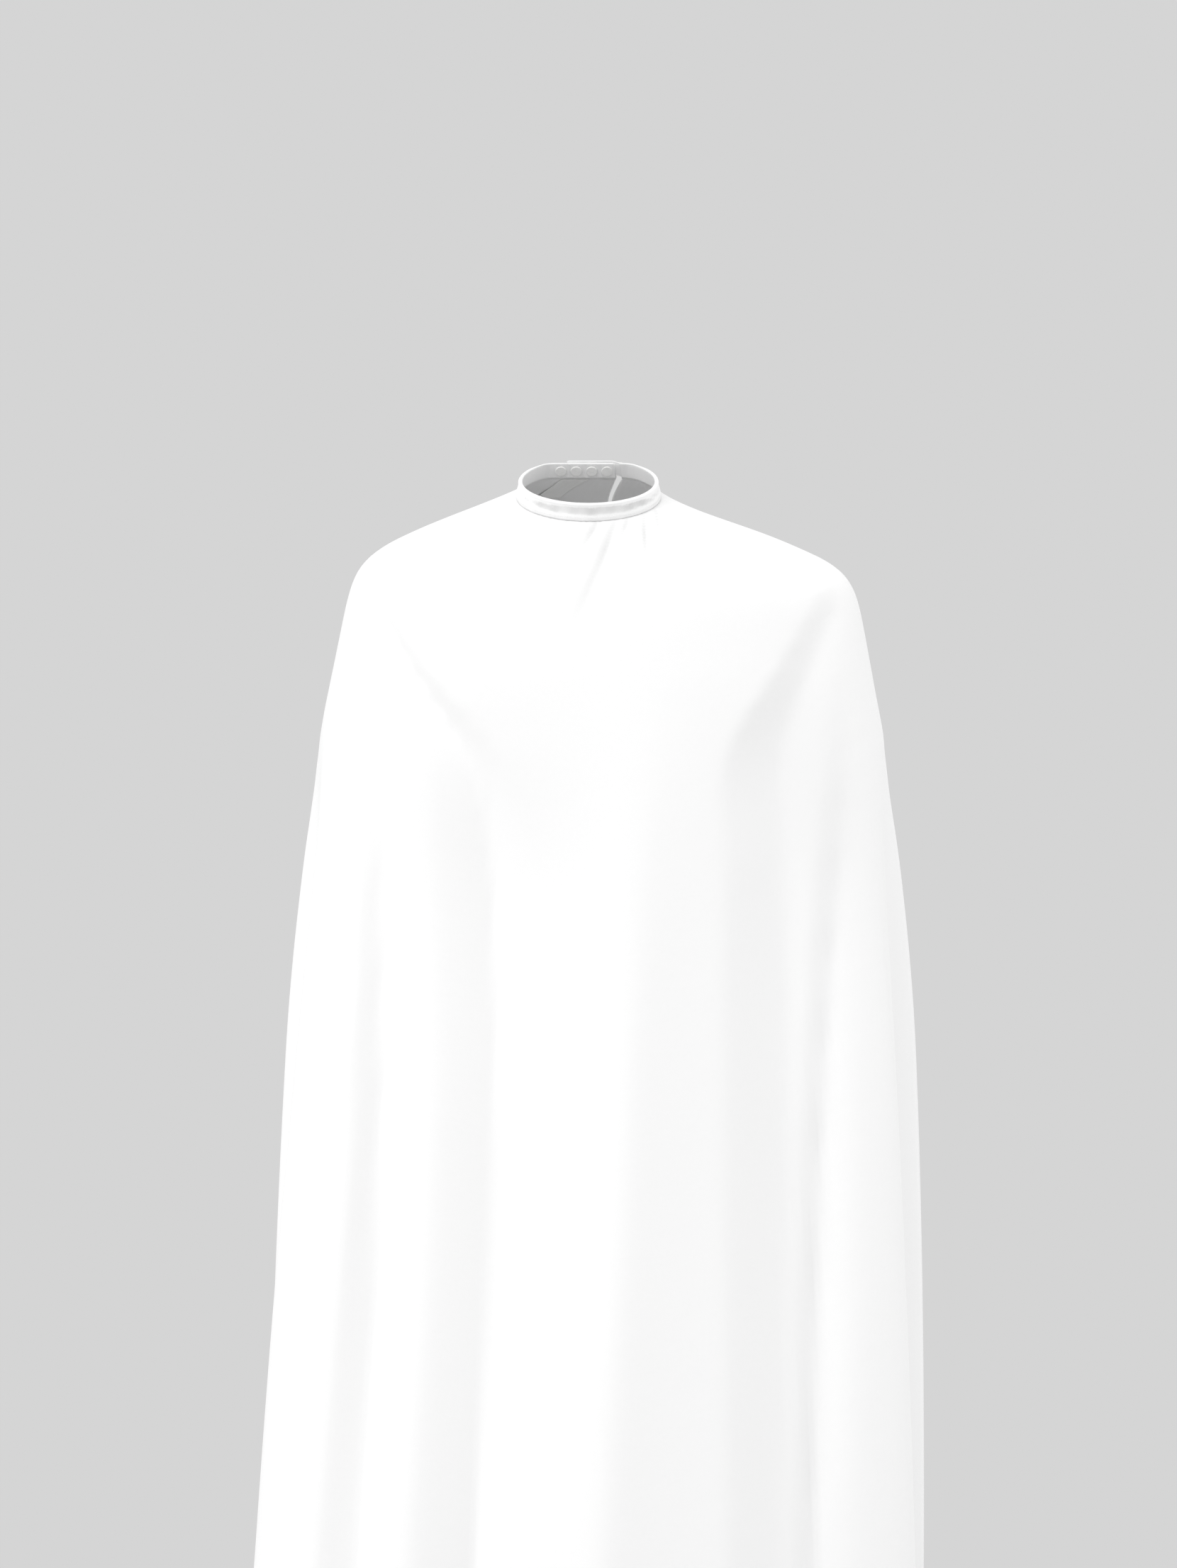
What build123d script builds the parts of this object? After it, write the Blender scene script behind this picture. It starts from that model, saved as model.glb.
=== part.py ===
from build123d import *
import math
import os

# Barber cape, worn: one big cloth hung from a neck band that closes at the nape with snaps.
# Frame: millimetres, +Z up, the wearer faces -Y, +X is the wearer's left.
# The origin is the centre of the neck opening, half way up the band.
# Azimuths are in degrees, 0 at the front and positive towards +X.

# ---------------------------------------------------------------- driving sizes
# cloth
front_length = 1225.0          # neckline to front hem, along the cloth
side_length = 640.0            # neckline to the side hem's upper end, over the shoulder
back_length = 310.0            # neckline to back hem, along the cloth
cloth_thickness = 1.2
hem_depth = 14.0               # hem stitching to the cloth's edge
thread_radius = 0.3
thread_gap = 1.0                # thread to cloth, so that the two stay clear where the cloth curves

# worn form: half widths of the cloth's plan where it turns down off the shoulders
shoulder_half_width = 238.0
chest_depth = 118.0
back_depth = 112.0
side_slope = 23.0              # fall of the cloth from the neck to the shoulder, degrees
front_slope = 44.0
back_slope = 26.0
plan_power = 2.5               # squareness of the plan, 2 is an ellipse
turn_softness = 13.0           # length over which the cloth turns down at the shoulder
flare = 88.0                   # how far the skirt stands out below the shoulder
flare_length = 380.0
fold_count = 13
fold_depth = 21.0
fold_start = 60.0              # below the turn, where the folds begin
fold_growth = 620.0

# where the side hems hang, and the back opening
side_hem_azimuth = 112.0
side_hem_spread = 14.0
back_opening_azimuth = 171.0
back_opening_gap = 2.4

# neck band
neck_radius = 68.75            # middle of the band's wall, at its lower edge
nape_flat = 55.0               # origin to the middle of the flat nape stretch, at the lower edge
nape_corner_radius = 20.0
band_height = 17.5             # along its slant
band_tilt = 17.0               # the front of the band is lower than the nape
band_flare = 14.0              # the band leans in towards its top
band_wall = 0.7
elastic_thickness = 0.9
elastic_height = 10.0
channel_clearance = 0.1
elastic_drop = 1.2             # top fold to the elastic
zigzag_width = 3.0
zigzag_height = 3.2            # band's lower edge to the zigzag row
zigzag_thickness = 0.3
seam_height = 1.0
sewn_gap = 0.4                 # band's lower edge to the panel's neck edge

# closure at the nape: x runs along the band, towards +X
underlap_end = 27.0
tab_root = 33.0
tab_length = 54.0
tab_end_margin = 8.0           # a socket's centre stays at least this far from the tab's end
tab_height = 15.5
tab_wall = 0.5
interlining_thickness = 0.5
interlining_margin = 2.0

# snap fasteners
stud_pitch = 15.0
stud_first = 18.0
stud_count = 4
socket_count = 2
snap_radius = 5.0
cap_radius = 5.5
cap_thickness = 1.1
cap_edge = 0.5
post_radius = 1.4
post_clearance = 0.1
stud_flange = 0.8
stud_head_radius = 2.0
stud_head_height = 2.0
socket_thickness = 2.8
socket_clearance = 0.35

# label
label_width = 28.0
label_length = 40.0
label_thickness = 0.4
label_azimuth = -168.0
label_start = 8.0
label_gap = 0.8

# ---------------------------------------------------------------- worked-out sizes
channel_half = elastic_thickness / 2 + channel_clearance
band_half = channel_half + band_wall
band_rise = band_height * math.cos(math.radians(band_flare))
elastic_run = elastic_height * math.cos(math.radians(band_flare))
nape_tilt = band_tilt + band_flare
stud_places = [stud_first - stud_pitch * i for i in range(stud_count)]
tab_end = tab_root - tab_length
socket_places = [x for x in stud_places if x >= tab_end + tab_end_margin][-socket_count:]
tab_thickness = 2 * tab_wall + interlining_thickness + 2 * channel_clearance
snap_stack = stud_flange + socket_thickness
tab_middle = band_half + snap_stack + tab_thickness / 2


def direction(azimuth):
    """Unit vector in plan at an azimuth."""
    angle = math.radians(azimuth)
    return Vector(math.sin(angle), -math.cos(angle), 0)


def smooth_step(value):
    """Smooth rise from 0 to 1 as value goes from 0 to 1."""
    t = min(max(value, 0.0), 1.0)
    return t * t * (3 - 2 * t)


# ---------------------------------------------------------------- band outline
def corner_centre():
    """Centre of the outline's right-hand nape corner, in the band's plane."""
    up = nape_flat - nape_corner_radius
    reach = neck_radius - nape_corner_radius
    return math.sqrt(reach**2 - up**2), up


def outline_radius(azimuth):
    """Distance from the axis to the outline's middle line: front circle, corners, flat nape."""
    angle = math.radians(azimuth)
    across = abs(math.sin(angle))
    back = -math.cos(angle)
    cx, cy = corner_centre()
    if across * nape_flat <= back * cx:
        return nape_flat / back
    if across * cy <= back * cx:
        along = across * cx + back * cy
        return along + math.sqrt(along**2 - cx**2 - cy**2 + nape_corner_radius**2)
    return neck_radius


def band_plane(rise):
    """Plane across the band, at a rise above the origin along the band's axis."""
    tilt = math.radians(band_tilt)
    axis = Vector(0, -math.sin(tilt), math.cos(tilt))
    return Plane(origin=axis * rise, x_dir=(1, 0, 0), z_dir=axis)


def band_outline(offset, rise):
    """Face inside the band's outline, at an offset from its middle and a rise."""
    cx, cy = corner_centre()
    grow = offset - (rise + band_rise / 2) * math.tan(math.radians(band_flare))
    radius = nape_corner_radius + grow
    big = neck_radius + grow
    flat = nape_flat + grow
    turn = math.atan2(cy, cx)
    bend = (math.pi / 2 + turn) / 2
    side = big * math.cos(turn), big * math.sin(turn)
    corner = cx + radius * math.cos(bend), cy + radius * math.sin(bend)
    with BuildSketch(band_plane(rise)) as sketch:
        with BuildLine():
            Line((-cx, flat), (cx, flat))
            ThreePointArc((cx, flat), corner, side)
            ThreePointArc(side, (0, -big), (-side[0], side[1]))
            ThreePointArc((-side[0], side[1]), (-corner[0], corner[1]), (-cx, flat))
        make_face()
    return sketch.sketch


def band_form(offset, low, high):
    """Solid inside the band's surface at an offset from its middle, between two rises."""
    return loft([band_outline(offset, low), band_outline(offset, high)], ruled=True)


def band_ring(inner, outer, low, high):
    """Closed strip between two offsets from the band's middle surface."""
    return band_form(outer, low, high) - band_form(inner, low, high)


def nape_plane():
    """Plane of the flat nape stretch: x along it, y outwards, z up its slant."""
    tilt = math.radians(band_tilt)
    inset = nape_flat - band_rise / 2 * math.tan(math.radians(band_flare))
    centre = Vector(0, math.cos(tilt), math.sin(tilt)) * inset
    lean = math.radians(nape_tilt)
    return Plane(origin=centre, x_dir=(1, 0, 0), z_dir=(0, -math.sin(lean), math.cos(lean)))


def nape_box(x_low, x_high, y_low, y_high, z_low, z_high):
    """Box given in the nape plane's own directions."""
    size = Vector(x_high - x_low, y_high - y_low, z_high - z_low)
    box = Box(size.X, size.Y, size.Z, align=(Align.MIN, Align.MIN, Align.MIN))
    return nape_plane() * Pos(x_low, y_low, z_low) * box


def nape_hole(x):
    """Hole through the band or the tab for a snap's post."""
    drill = Cylinder(post_radius + post_clearance, 2 * band_height)
    return nape_plane() * Pos(x, 0, 0) * Rot(X=-90) * drill


def nape_gap(width):
    """Block that opens the band between the underlap's end and the tab's root."""
    reach = band_height
    return nape_box(underlap_end, underlap_end + width, -reach, reach, -reach, reach)


# ---------------------------------------------------------------- neck band
def neck_band_cover():
    """Folded strip: two walls and the fold along the top, open along the lower edge."""
    half = band_rise / 2
    cover = band_ring(-band_half, band_half, -half, half)
    cover -= band_ring(-channel_half, channel_half, -half - band_wall, half - band_wall)
    cover -= nape_gap(tab_root - underlap_end)
    for x in stud_places:
        cover -= nape_hole(x)
    return cover


def nape_cut():
    """Block over the whole flat nape stretch, where the elastic stops."""
    reach = neck_radius
    cx, _ = corner_centre()
    return nape_box(-cx, cx, -reach / 2, reach / 2, -reach / 2, reach / 2)


def neck_elastic():
    """Elastic tape round the front and sides, inside the cover."""
    high = band_rise / 2 - band_wall - elastic_drop
    half = elastic_thickness / 2
    return band_ring(-half, half, high - elastic_run, high) - nape_cut()


def band_zigzag_thread():
    """Row of zigzag stitches near the lower edge, as a thin strip on the cover."""
    low = -band_rise / 2 + zigzag_height - zigzag_width / 2
    inner = band_half + channel_clearance / 2
    ring = band_ring(inner, inner + zigzag_thickness, low, low + zigzag_width)
    return ring - nape_cut()


def neckline_seam_thread():
    """Stitching inside the lower edge that joins the band to the panel."""
    half = band_rise / 2
    inner = channel_half - channel_clearance
    return band_ring(-inner, inner, -half, -half + seam_height) - nape_gap(tab_root - underlap_end)


def underlap_edges():
    """Ends, along x, of what lies inside the underlap."""
    cx, _ = corner_centre()
    return -cx + channel_clearance, underlap_end - interlining_margin


def underlap_interlining():
    """Stiffener inside the underlap, pierced by the studs' posts."""
    low, high = underlap_edges()
    tall = elastic_height / 2
    half = interlining_thickness / 2
    strip = nape_box(low, high, -half, half, -tall, tall)
    for x in stud_places:
        strip -= nape_hole(x)
    return strip


def stitched_frame(x_low, x_high, tall, y_low, y_high):
    """Rectangular run of stitching, as a thin frame."""
    wide = 2 * thread_radius
    outer = nape_box(x_low, x_high, y_low, y_high, -tall, tall)
    return outer - nape_box(x_low + wide, x_high - wide, y_low, y_high, -tall + wide, tall - wide)


def underlap_seam_thread():
    """Stitching round the underlap, on its outer face."""
    low, high = underlap_edges()
    start = band_half + channel_clearance / 2
    return stitched_frame(low, high, tab_height / 2 - interlining_margin / 2, start,
                          start + 2 * thread_radius)


# ---------------------------------------------------------------- closure tab
def tab_cover():
    """Free end of the band: a flat sleeve that holds the stiffener."""
    tall = tab_height / 2
    low = tab_middle - tab_thickness / 2
    high = tab_middle + tab_thickness / 2
    cover = nape_box(tab_end, tab_root, low, high, -tall, tall)
    cover -= nape_box(tab_end + tab_wall, tab_root, low + tab_wall, high - tab_wall,
                      -tall + tab_wall, tall - tab_wall)
    for x in socket_places:
        cover -= nape_hole(x)
    return cover


def tab_interlining():
    """Stiffener inside the tab, pierced by the sockets' posts."""
    start = tab_end + interlining_margin
    tall = tab_height / 2 - interlining_margin
    half = interlining_thickness / 2
    strip = nape_box(start, tab_root, tab_middle - half, tab_middle + half, -tall, tall)
    for x in socket_places:
        strip -= nape_hole(x)
    return strip


def tab_seam_thread():
    """Stitching round the tab, on its outer face."""
    start = tab_end + interlining_margin / 2
    face = tab_middle + tab_thickness / 2 + channel_clearance / 2
    return stitched_frame(start, tab_root - interlining_margin / 2,
                          tab_height / 2 - interlining_margin / 2, face,
                          face + 2 * thread_radius)


# ---------------------------------------------------------------- snap fasteners
def upright(radius, height, align=Align.MIN):
    """Cylinder standing on the local origin, or hanging below it with Align.MAX."""
    return Cylinder(radius, height, align=(Align.CENTER, Align.CENTER, align))


def on_nape(x, face, piece, turn=-90):
    """Piece modelled along +Z, placed on the nape plane so that it points outwards."""
    return nape_plane() * Pos(x, face, 0) * Rot(X=turn) * piece


def stud(x):
    """Stud: a flange on the underlap and a round-nosed head that snaps into a socket."""
    head = upright(stud_head_radius, stud_flange + stud_head_height)
    head = fillet(head.edges().sort_by(Axis.Z)[-1], stud_head_radius / 2)
    body = upright(snap_radius, stud_flange) + head - upright(post_radius, stud_flange / 2)
    return on_nape(x, band_half, body)


def cap(x, face, post_length, turn=-90):
    """Domed cap with a post that goes through the cloth towards the other half."""
    body = upright(cap_radius, cap_thickness)
    body = fillet(body.edges().sort_by(Axis.Z)[-1], cap_thickness - cap_edge)
    return on_nape(x, face, body + upright(post_radius, post_length, Align.MAX), turn)


def stud_cap(x):
    """Cap on the neck side of the underlap, its post clinched in the stud's flange."""
    return cap(x, -band_half, 2 * band_half + stud_flange / 2, turn=90)


def socket(x):
    """Socket: a round case with the hole that the stud's head is pressed into."""
    case = upright(snap_radius, socket_thickness)
    case -= upright(stud_head_radius + socket_clearance, stud_head_height + socket_clearance)
    return on_nape(x, band_half + stud_flange, case)


def socket_cap(x):
    """Cap on the outside of the tab, its post clinched on the socket."""
    return cap(x, tab_middle + tab_thickness / 2, tab_thickness)


# ---------------------------------------------------------------- cloth
def turn_point(azimuth):
    """Plan radius, slope and neckline distance of the point where the cloth turns down."""
    angle = math.radians(azimuth)
    depth = chest_depth if math.cos(angle) > 0 else back_depth
    wide = (abs(math.sin(angle)) / shoulder_half_width) ** plan_power
    deep = (abs(math.cos(angle)) / depth) ** plan_power
    radius = (wide + deep) ** (-1 / plan_power)
    end_slope = front_slope if math.cos(angle) > 0 else back_slope
    slope = side_slope + (end_slope - side_slope) * abs(math.cos(angle)) ** 3
    return radius, math.radians(slope)


def neck_point(azimuth):
    """Point of the panel's neck edge, just under the middle of the band's wall."""
    rise = -band_rise / 2 - sewn_gap - cloth_thickness
    tilt = math.radians(band_tilt)
    radius = outline_radius(azimuth)
    flat = direction(azimuth) * radius
    across = Vector(0, math.cos(tilt), math.sin(tilt)) * flat.Y
    return Vector(flat.X, 0, 0) + across + Vector(0, -math.sin(tilt), math.cos(tilt)) * rise


def hem_length(azimuth):
    """Length of cloth from the neckline to the hem: long in front, short behind the arms."""
    away = abs((azimuth + 180) % 360 - 180)
    side = smooth_step((away - side_hem_azimuth + side_hem_spread) / (2 * side_hem_spread))
    rear = smooth_step((away - side_hem_azimuth) / (180 - side_hem_azimuth))
    return front_length + (side_length - front_length) * side + (back_length - side_length) * rear


def cloth_point(neck_azimuth, skirt_azimuth, length):
    """Point of the worn cloth, a length of cloth away from the neckline."""
    start = neck_point(neck_azimuth)
    radius, slope = turn_point(skirt_azimuth)
    turn = direction(skirt_azimuth) * radius
    run = Vector(turn.X - start.X, turn.Y - start.Y, 0)
    shoulder = run + Vector(0, 0, -run.length * math.tan(slope))
    past = turn_softness * math.log1p(math.exp((length - shoulder.length) / turn_softness))
    held = length - past
    out = direction(skirt_azimuth)
    stand = flare * (1 - math.exp(-past / flare_length))
    depth = fold_depth * smooth_step((past - fold_start) / fold_growth)
    stand += depth * math.cos(math.radians(skirt_azimuth) * fold_count)
    return start + shoulder.normalized() * held + out * stand + Vector(0, 0, -past)


def azimuths(across):
    """Neck and skirt azimuths of a place round the cloth: across runs 0 to 1 between its slit edges."""
    neck_low = -180 - math.degrees(math.atan2(underlap_end, nape_flat))
    neck_high = 180 - math.degrees(math.atan2(tab_root, nape_flat))
    skirt_low = back_opening_azimuth - 360 + back_opening_gap / 2
    skirt_high = back_opening_azimuth - back_opening_gap / 2
    neck = neck_low + (neck_high - neck_low) * across
    return neck, skirt_low + (skirt_high - skirt_low) * across


def sheet_point(across, along, margin=0.0):
    """Point of the cloth's middle surface; along runs 0 to 1 from the neckline to the hem."""
    neck, skirt = azimuths(across)
    return cloth_point(neck, skirt, (hem_length(skirt) - margin) * along)


def sheet_normal(across, along, margin=0.0):
    """Outward unit normal of the cloth."""
    step = 1e-3
    side_low, side_high = max(across - step, 0.0), min(across + step, 1.0)
    down_low, down_high = max(along - step, 0.0), min(along + step, 1.0)
    side = sheet_point(side_high, along, margin) - sheet_point(side_low, along, margin)
    down = sheet_point(across, down_high, margin) - sheet_point(across, down_low, margin)
    return down.cross(side).normalized()


def cloth_patch(across, along, offset, thickness, margin=0.0):
    """Closed piece of cloth over a grid of places, its outer face at an offset outwards.

    Each face is a run of ruled strips between splines that go round the cloth.
    """
    curves = []
    for depth in (offset, offset - thickness):
        rows = [[sheet_point(a, b, margin) + sheet_normal(a, b, margin) * depth for a in across]
                for b in along]
        curves.append([Spline(row) for row in rows])
    faces = []
    for side in curves:
        faces += [Face.make_surface_from_curves(*pair) for pair in zip(side, side[1:])]
    outer, inner = curves
    for row in (0, -1):
        faces.append(Face.make_surface_from_curves(outer[row], inner[row]))
    for end in (0, 1):
        rim = [curve @ end for curve in outer] + [curve @ end for curve in reversed(inner)]
        faces += end_faces(rim)
    return Solid(Shell(faces))


def end_faces(rim):
    """Quadrilaterals that close one end of a patch, between its outer and inner edges."""
    last = len(rim) - 1
    quads = [(rim[i], rim[i + 1], rim[last - i - 1], rim[last - i]) for i in range(last // 2)]
    return [Face.make_surface_from_curves(Line(a, b), Line(d, c)) for a, b, c, d in quads]


def spaced(low, high, count, power=1.0):
    """Evenly spaced values, or closer together at the low end with a power above 1."""
    return [low + (high - low) * (i / (count - 1)) ** power for i in range(count)]


def cape_panel():
    """The cloth itself, from the neckline to its hems, open down the back."""
    return cloth_patch(spaced(0, 1, 97), spaced(0, 1, 25, 1.35), cloth_thickness / 2,
                       cloth_thickness)


def stitch_run(places):
    """Thread along places on the cloth, lying just outside it: four ruled sides and two ends."""
    away = cloth_thickness / 2 + thread_gap + thread_radius
    points = [sheet_point(*place) for place in places]
    normals = [sheet_normal(*place) for place in places]
    last = len(points) - 1
    runs = [points[min(i + 1, last)] - points[max(i - 1, 0)] for i in range(last + 1)]
    corners = []
    for out, side in ((-1, -1), (-1, 1), (1, 1), (1, -1)):
        corners.append([point + normal * (away + out * thread_radius)
                        + normal.cross(run).normalized() * (side * thread_radius)
                        for point, normal, run in zip(points, normals, runs)])
    edges = [Spline(corner) for corner in corners]
    faces = [Face.make_surface_from_curves(edges[i - 1], edges[i]) for i in range(4)]
    faces += [Face(Wire.make_polygon([corner[end] for corner in corners])) for end in (0, last)]
    return Solid(Shell(faces))


def across_at(azimuth):
    """How far round the cloth a skirt azimuth is, 0 to 1."""
    low, high = azimuths(0)[1], azimuths(1)[1]
    return (azimuth - low) / (high - low)


def hem_run(low, high, count):
    """Stitching along the hem between two azimuths."""
    stops = spaced(across_at(low), across_at(high), count)
    return stitch_run([(a, 1.0, hem_depth) for a in stops])


def opening_run(side):
    """Stitching down one edge of the back opening; side is 0 on the left and 1 on the right."""
    inset = hem_depth / (math.pi * (shoulder_half_width + chest_depth))
    across = inset if side == 0 else 1 - inset
    return stitch_run([(across, b, hem_depth) for b in spaced(0.03, 0.95, 17)])


def care_label():
    """Blank label that hangs from the neckline inside the back."""
    start = across_at(label_azimuth)
    half = label_width / (4 * math.pi * outline_radius(label_azimuth))
    length = hem_length(label_azimuth)
    along = spaced(label_start / length, (label_start + label_length) / length, 5)
    offset = -cloth_thickness / 2 - label_gap
    return cloth_patch(spaced(start - half, start + half, 5), along, offset, label_thickness)


# ---------------------------------------------------------------- parts
def pieces():
    """Every piece of the cape by its name."""
    start, stop = side_hem_azimuth - 2 * side_hem_spread, side_hem_azimuth + 2 * side_hem_spread
    low, high = azimuths(0)[1], azimuths(1)[1]
    inner = 2 * back_opening_gap
    made = {
        "cape_panel": cape_panel(),
        "neck_band_cover": neck_band_cover(),
        "neck_elastic": neck_elastic(),
        "band_zigzag_thread": band_zigzag_thread(),
        "neckline_seam_thread": neckline_seam_thread(),
        "underlap_interlining": underlap_interlining(),
        "underlap_seam_thread": underlap_seam_thread(),
        "tab_cover": tab_cover(),
        "tab_interlining": tab_interlining(),
        "tab_seam_thread": tab_seam_thread(),
        "care_label": care_label(),
        "front_hem_thread": hem_run(-start, start, 41),
        "left_side_hem_thread": hem_run(-stop, -start - inner, 43),
        "right_side_hem_thread": hem_run(start + inner, stop, 43),
        "left_back_hem_thread": hem_run(low + inner, -stop - inner, 15),
        "right_back_hem_thread": hem_run(stop + inner, high - inner, 15),
        "left_opening_thread": opening_run(0),
        "right_opening_thread": opening_run(1),
    }
    for number, x in enumerate(stud_places, 1):
        made[f"stud_{number}"] = stud(x)
        made[f"stud_cap_{number}"] = stud_cap(x)
    for number, x in enumerate(socket_places, 1):
        made[f"socket_{number}"] = socket(x)
        made[f"socket_cap_{number}"] = socket_cap(x)
    return made


os.makedirs("parts", exist_ok=True)
for name, piece in pieces().items():
    piece.label = name
    export_step(piece, f"parts/{name}.step")
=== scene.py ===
import logging
import math
from dataclasses import dataclass, field
from enum import Enum

import bpy
import numpy as np
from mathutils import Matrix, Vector


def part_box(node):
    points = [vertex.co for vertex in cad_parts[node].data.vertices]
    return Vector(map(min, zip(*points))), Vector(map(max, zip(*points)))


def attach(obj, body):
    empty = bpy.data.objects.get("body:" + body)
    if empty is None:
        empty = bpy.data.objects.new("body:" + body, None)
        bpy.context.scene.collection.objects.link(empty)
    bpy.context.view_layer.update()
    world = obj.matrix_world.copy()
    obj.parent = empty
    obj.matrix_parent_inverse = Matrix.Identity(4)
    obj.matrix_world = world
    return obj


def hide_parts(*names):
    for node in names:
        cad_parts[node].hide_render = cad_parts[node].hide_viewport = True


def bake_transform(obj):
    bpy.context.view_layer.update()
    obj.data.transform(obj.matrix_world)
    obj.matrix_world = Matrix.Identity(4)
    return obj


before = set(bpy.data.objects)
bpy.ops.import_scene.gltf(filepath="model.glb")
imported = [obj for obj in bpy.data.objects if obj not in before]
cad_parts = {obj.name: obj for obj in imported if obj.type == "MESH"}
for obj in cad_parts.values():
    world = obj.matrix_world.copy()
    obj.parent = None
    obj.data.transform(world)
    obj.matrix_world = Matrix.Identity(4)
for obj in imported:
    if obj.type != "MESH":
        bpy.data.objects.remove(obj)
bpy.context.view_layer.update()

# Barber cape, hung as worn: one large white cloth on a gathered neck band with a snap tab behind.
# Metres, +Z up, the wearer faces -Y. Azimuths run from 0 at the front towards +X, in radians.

LOG = logging.getLogger("cape")
MM = 0.001
PAINTED_SHADE = "indent_and_painted_shade"    # mesh attribute: painted shade in creases, in the band's hollow and along the seam under the band, 0 to 1
LEVELS = np.array([0.10, 0.17, 0.235, 0.36, 0.60, 1.05])    # below the neck, shoulder to knee


class Body(Enum):
    """The CAD bodies that pieces ride on."""

    CAPE = "cape"
    TAB = "tab"


class Side(Enum):
    """The two sides of the back opening, as the sign of X on the wearer."""

    RIGHT_HAND = -1
    LEFT_HAND = 1


# ---------------------------------------------------------------- numbers and grids
def smooth_step(value: np.ndarray) -> np.ndarray:
    """Smooth rise from 0 to 1: three t squared less two t cubed, with t held between 0 and 1.

    Args:
        value: where on the rise, 0 at its start and 1 at its end.

    Returns:
        The risen value, 0 to 1.
    """
    t = np.clip(value, 0.0, 1.0)
    return t * t * (3.0 - 2.0 * t)


def soft_past(value: np.ndarray, width: float) -> np.ndarray:
    """How far a value is past zero, with the corner at zero rounded over a width.

    Args:
        value: signed distance from the corner.
        width: how softly the corner turns.

    Returns:
        width times log(1 + exp(value / width)).
    """
    return width * np.logaddexp(0.0, value / width)


def through(levels: np.ndarray, values: tuple, at: np.ndarray) -> np.ndarray:
    """Smooth curve through values at given levels: cubic Hermite spans with averaged slopes.

    Args:
        levels: rising places of the values.
        values: the value at each level.
        at: where the curve is read.

    Returns:
        The curve's value at each place, held constant outside the levels.
    """
    known = np.asarray(values, float)
    slopes = np.gradient(known, levels)
    place = np.clip(at, levels[0], levels[-1])
    span = np.clip(np.searchsorted(levels, place, side="right") - 1, 0, len(levels) - 2)
    width = levels[span + 1] - levels[span]
    t = (place - levels[span]) / width
    rise = smooth_step(t)
    bend = t * (1.0 - t)
    ends = known[span] + (known[span + 1] - known[span]) * rise
    return ends + width * bend * (slopes[span] * (1.0 - t) - slopes[span + 1] * t)


def sample(grid: np.ndarray, rows: np.ndarray, columns: np.ndarray) -> np.ndarray:
    """Points between a grid's own, by Catmull-Rom down the rows and straight lines across.

    Args:
        grid: rows by columns by 3.
        rows: fractional row of each wanted point.
        columns: fractional column of each wanted point.

    Returns:
        The points, in the shape of rows with 3 coordinates.
    """
    last_row, last_column = grid.shape[0] - 1, grid.shape[1] - 1
    row = np.clip(np.floor(rows).astype(int), 0, last_row - 1)
    column = np.clip(np.floor(columns).astype(int), 0, last_column - 1)
    t = (rows - row)[..., None]
    u = (columns - column)[..., None]

    def at(step: int) -> np.ndarray:
        """The grid at a whole row, between two columns."""
        line = np.clip(row + step, 0, last_row)
        return grid[line, column] * (1.0 - u) + grid[line, column + 1] * u

    before, start, end, after = at(-1), at(0), at(1), at(2)
    curve = 2 * start + (end - before) * t
    curve = curve + (2 * before - 5 * start + 4 * end - after) * t**2
    return 0.5 * (curve + (3 * start - before - 3 * end + after) * t**3)


def unit(vectors: np.ndarray) -> np.ndarray:
    """Vectors scaled to length one."""
    return vectors / np.maximum(np.linalg.norm(vectors, axis=-1, keepdims=True), 1e-12)


def grid_normals(grid: np.ndarray) -> np.ndarray:
    """Outward unit normals of a grid whose rows run down and whose columns run towards +X in front."""
    return unit(np.cross(np.gradient(grid, axis=0), np.gradient(grid, axis=1)))


def grid_quads(rows: int, columns: int, first: int = 0, around: bool = False,
               flip: bool = False) -> np.ndarray:
    """Corner indices of a grid's four-sided faces.

    Args:
        rows: number of rows of points.
        columns: number of points in each row.
        first: index of the grid's first point.
        around: whether the last column joins the first.
        flip: whether the faces look the other way.

    Returns:
        Faces by 4 corners.
    """
    index = np.arange(rows * columns).reshape(rows, columns) + first
    beside = np.roll(index, -1, 1) if around else index[:, 1:]
    here = index if around else index[:, :-1]
    corners = [here[:-1], here[1:], beside[1:], beside[:-1]]
    if flip:
        corners.reverse()
    return np.stack(corners, -1).reshape(-1, 4)


def bridge(one: np.ndarray, other: np.ndarray) -> np.ndarray:
    """Faces between two equally long runs of point indices."""
    return np.stack([one[:-1], one[1:], other[1:], other[:-1]], -1)


def make_piece(name: str, points: np.ndarray, faces: list, material: bpy.types.Material,
               uv: np.ndarray | None = None) -> bpy.types.Object:
    """A smooth-shaded object from points and faces, at the origin.

    Args:
        name: the piece's name.
        points: its points in metres.
        faces: its faces, each a list of point indices.
        material: what it is made of.
        uv: a place on the cloth for each point, in metres, or None.

    Returns:
        The new object.
    """
    mesh = bpy.data.meshes.new(name)
    mesh.from_pydata(points.reshape(-1, 3).tolist(), [], faces)
    mesh.polygons.foreach_set("use_smooth", np.ones(len(mesh.polygons), bool))
    if uv is not None:
        corners = np.zeros(len(mesh.loops), np.int32)
        mesh.loops.foreach_get("vertex_index", corners)
        layer = mesh.uv_layers.new(name="cloth")
        layer.data.foreach_set("uv", uv.reshape(-1, 2)[corners].astype(np.float32).ravel())
    mesh.materials.append(material)
    mesh.update()
    piece = bpy.data.objects.new(name, mesh)
    bpy.context.scene.collection.objects.link(piece)
    return piece


def mark_painted_shade(piece: bpy.types.Object, values: np.ndarray) -> None:
    """Stores the painted shade at each point, 0 to 1, which the finish paints as a darker colour.

    Args:
        piece: the cloth.
        values: 0 to 1, one for each point.
    """
    layer = piece.data.attributes.new(PAINTED_SHADE, "FLOAT", "POINT")
    layer.data.foreach_set("value", values.astype(np.float32))


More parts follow.
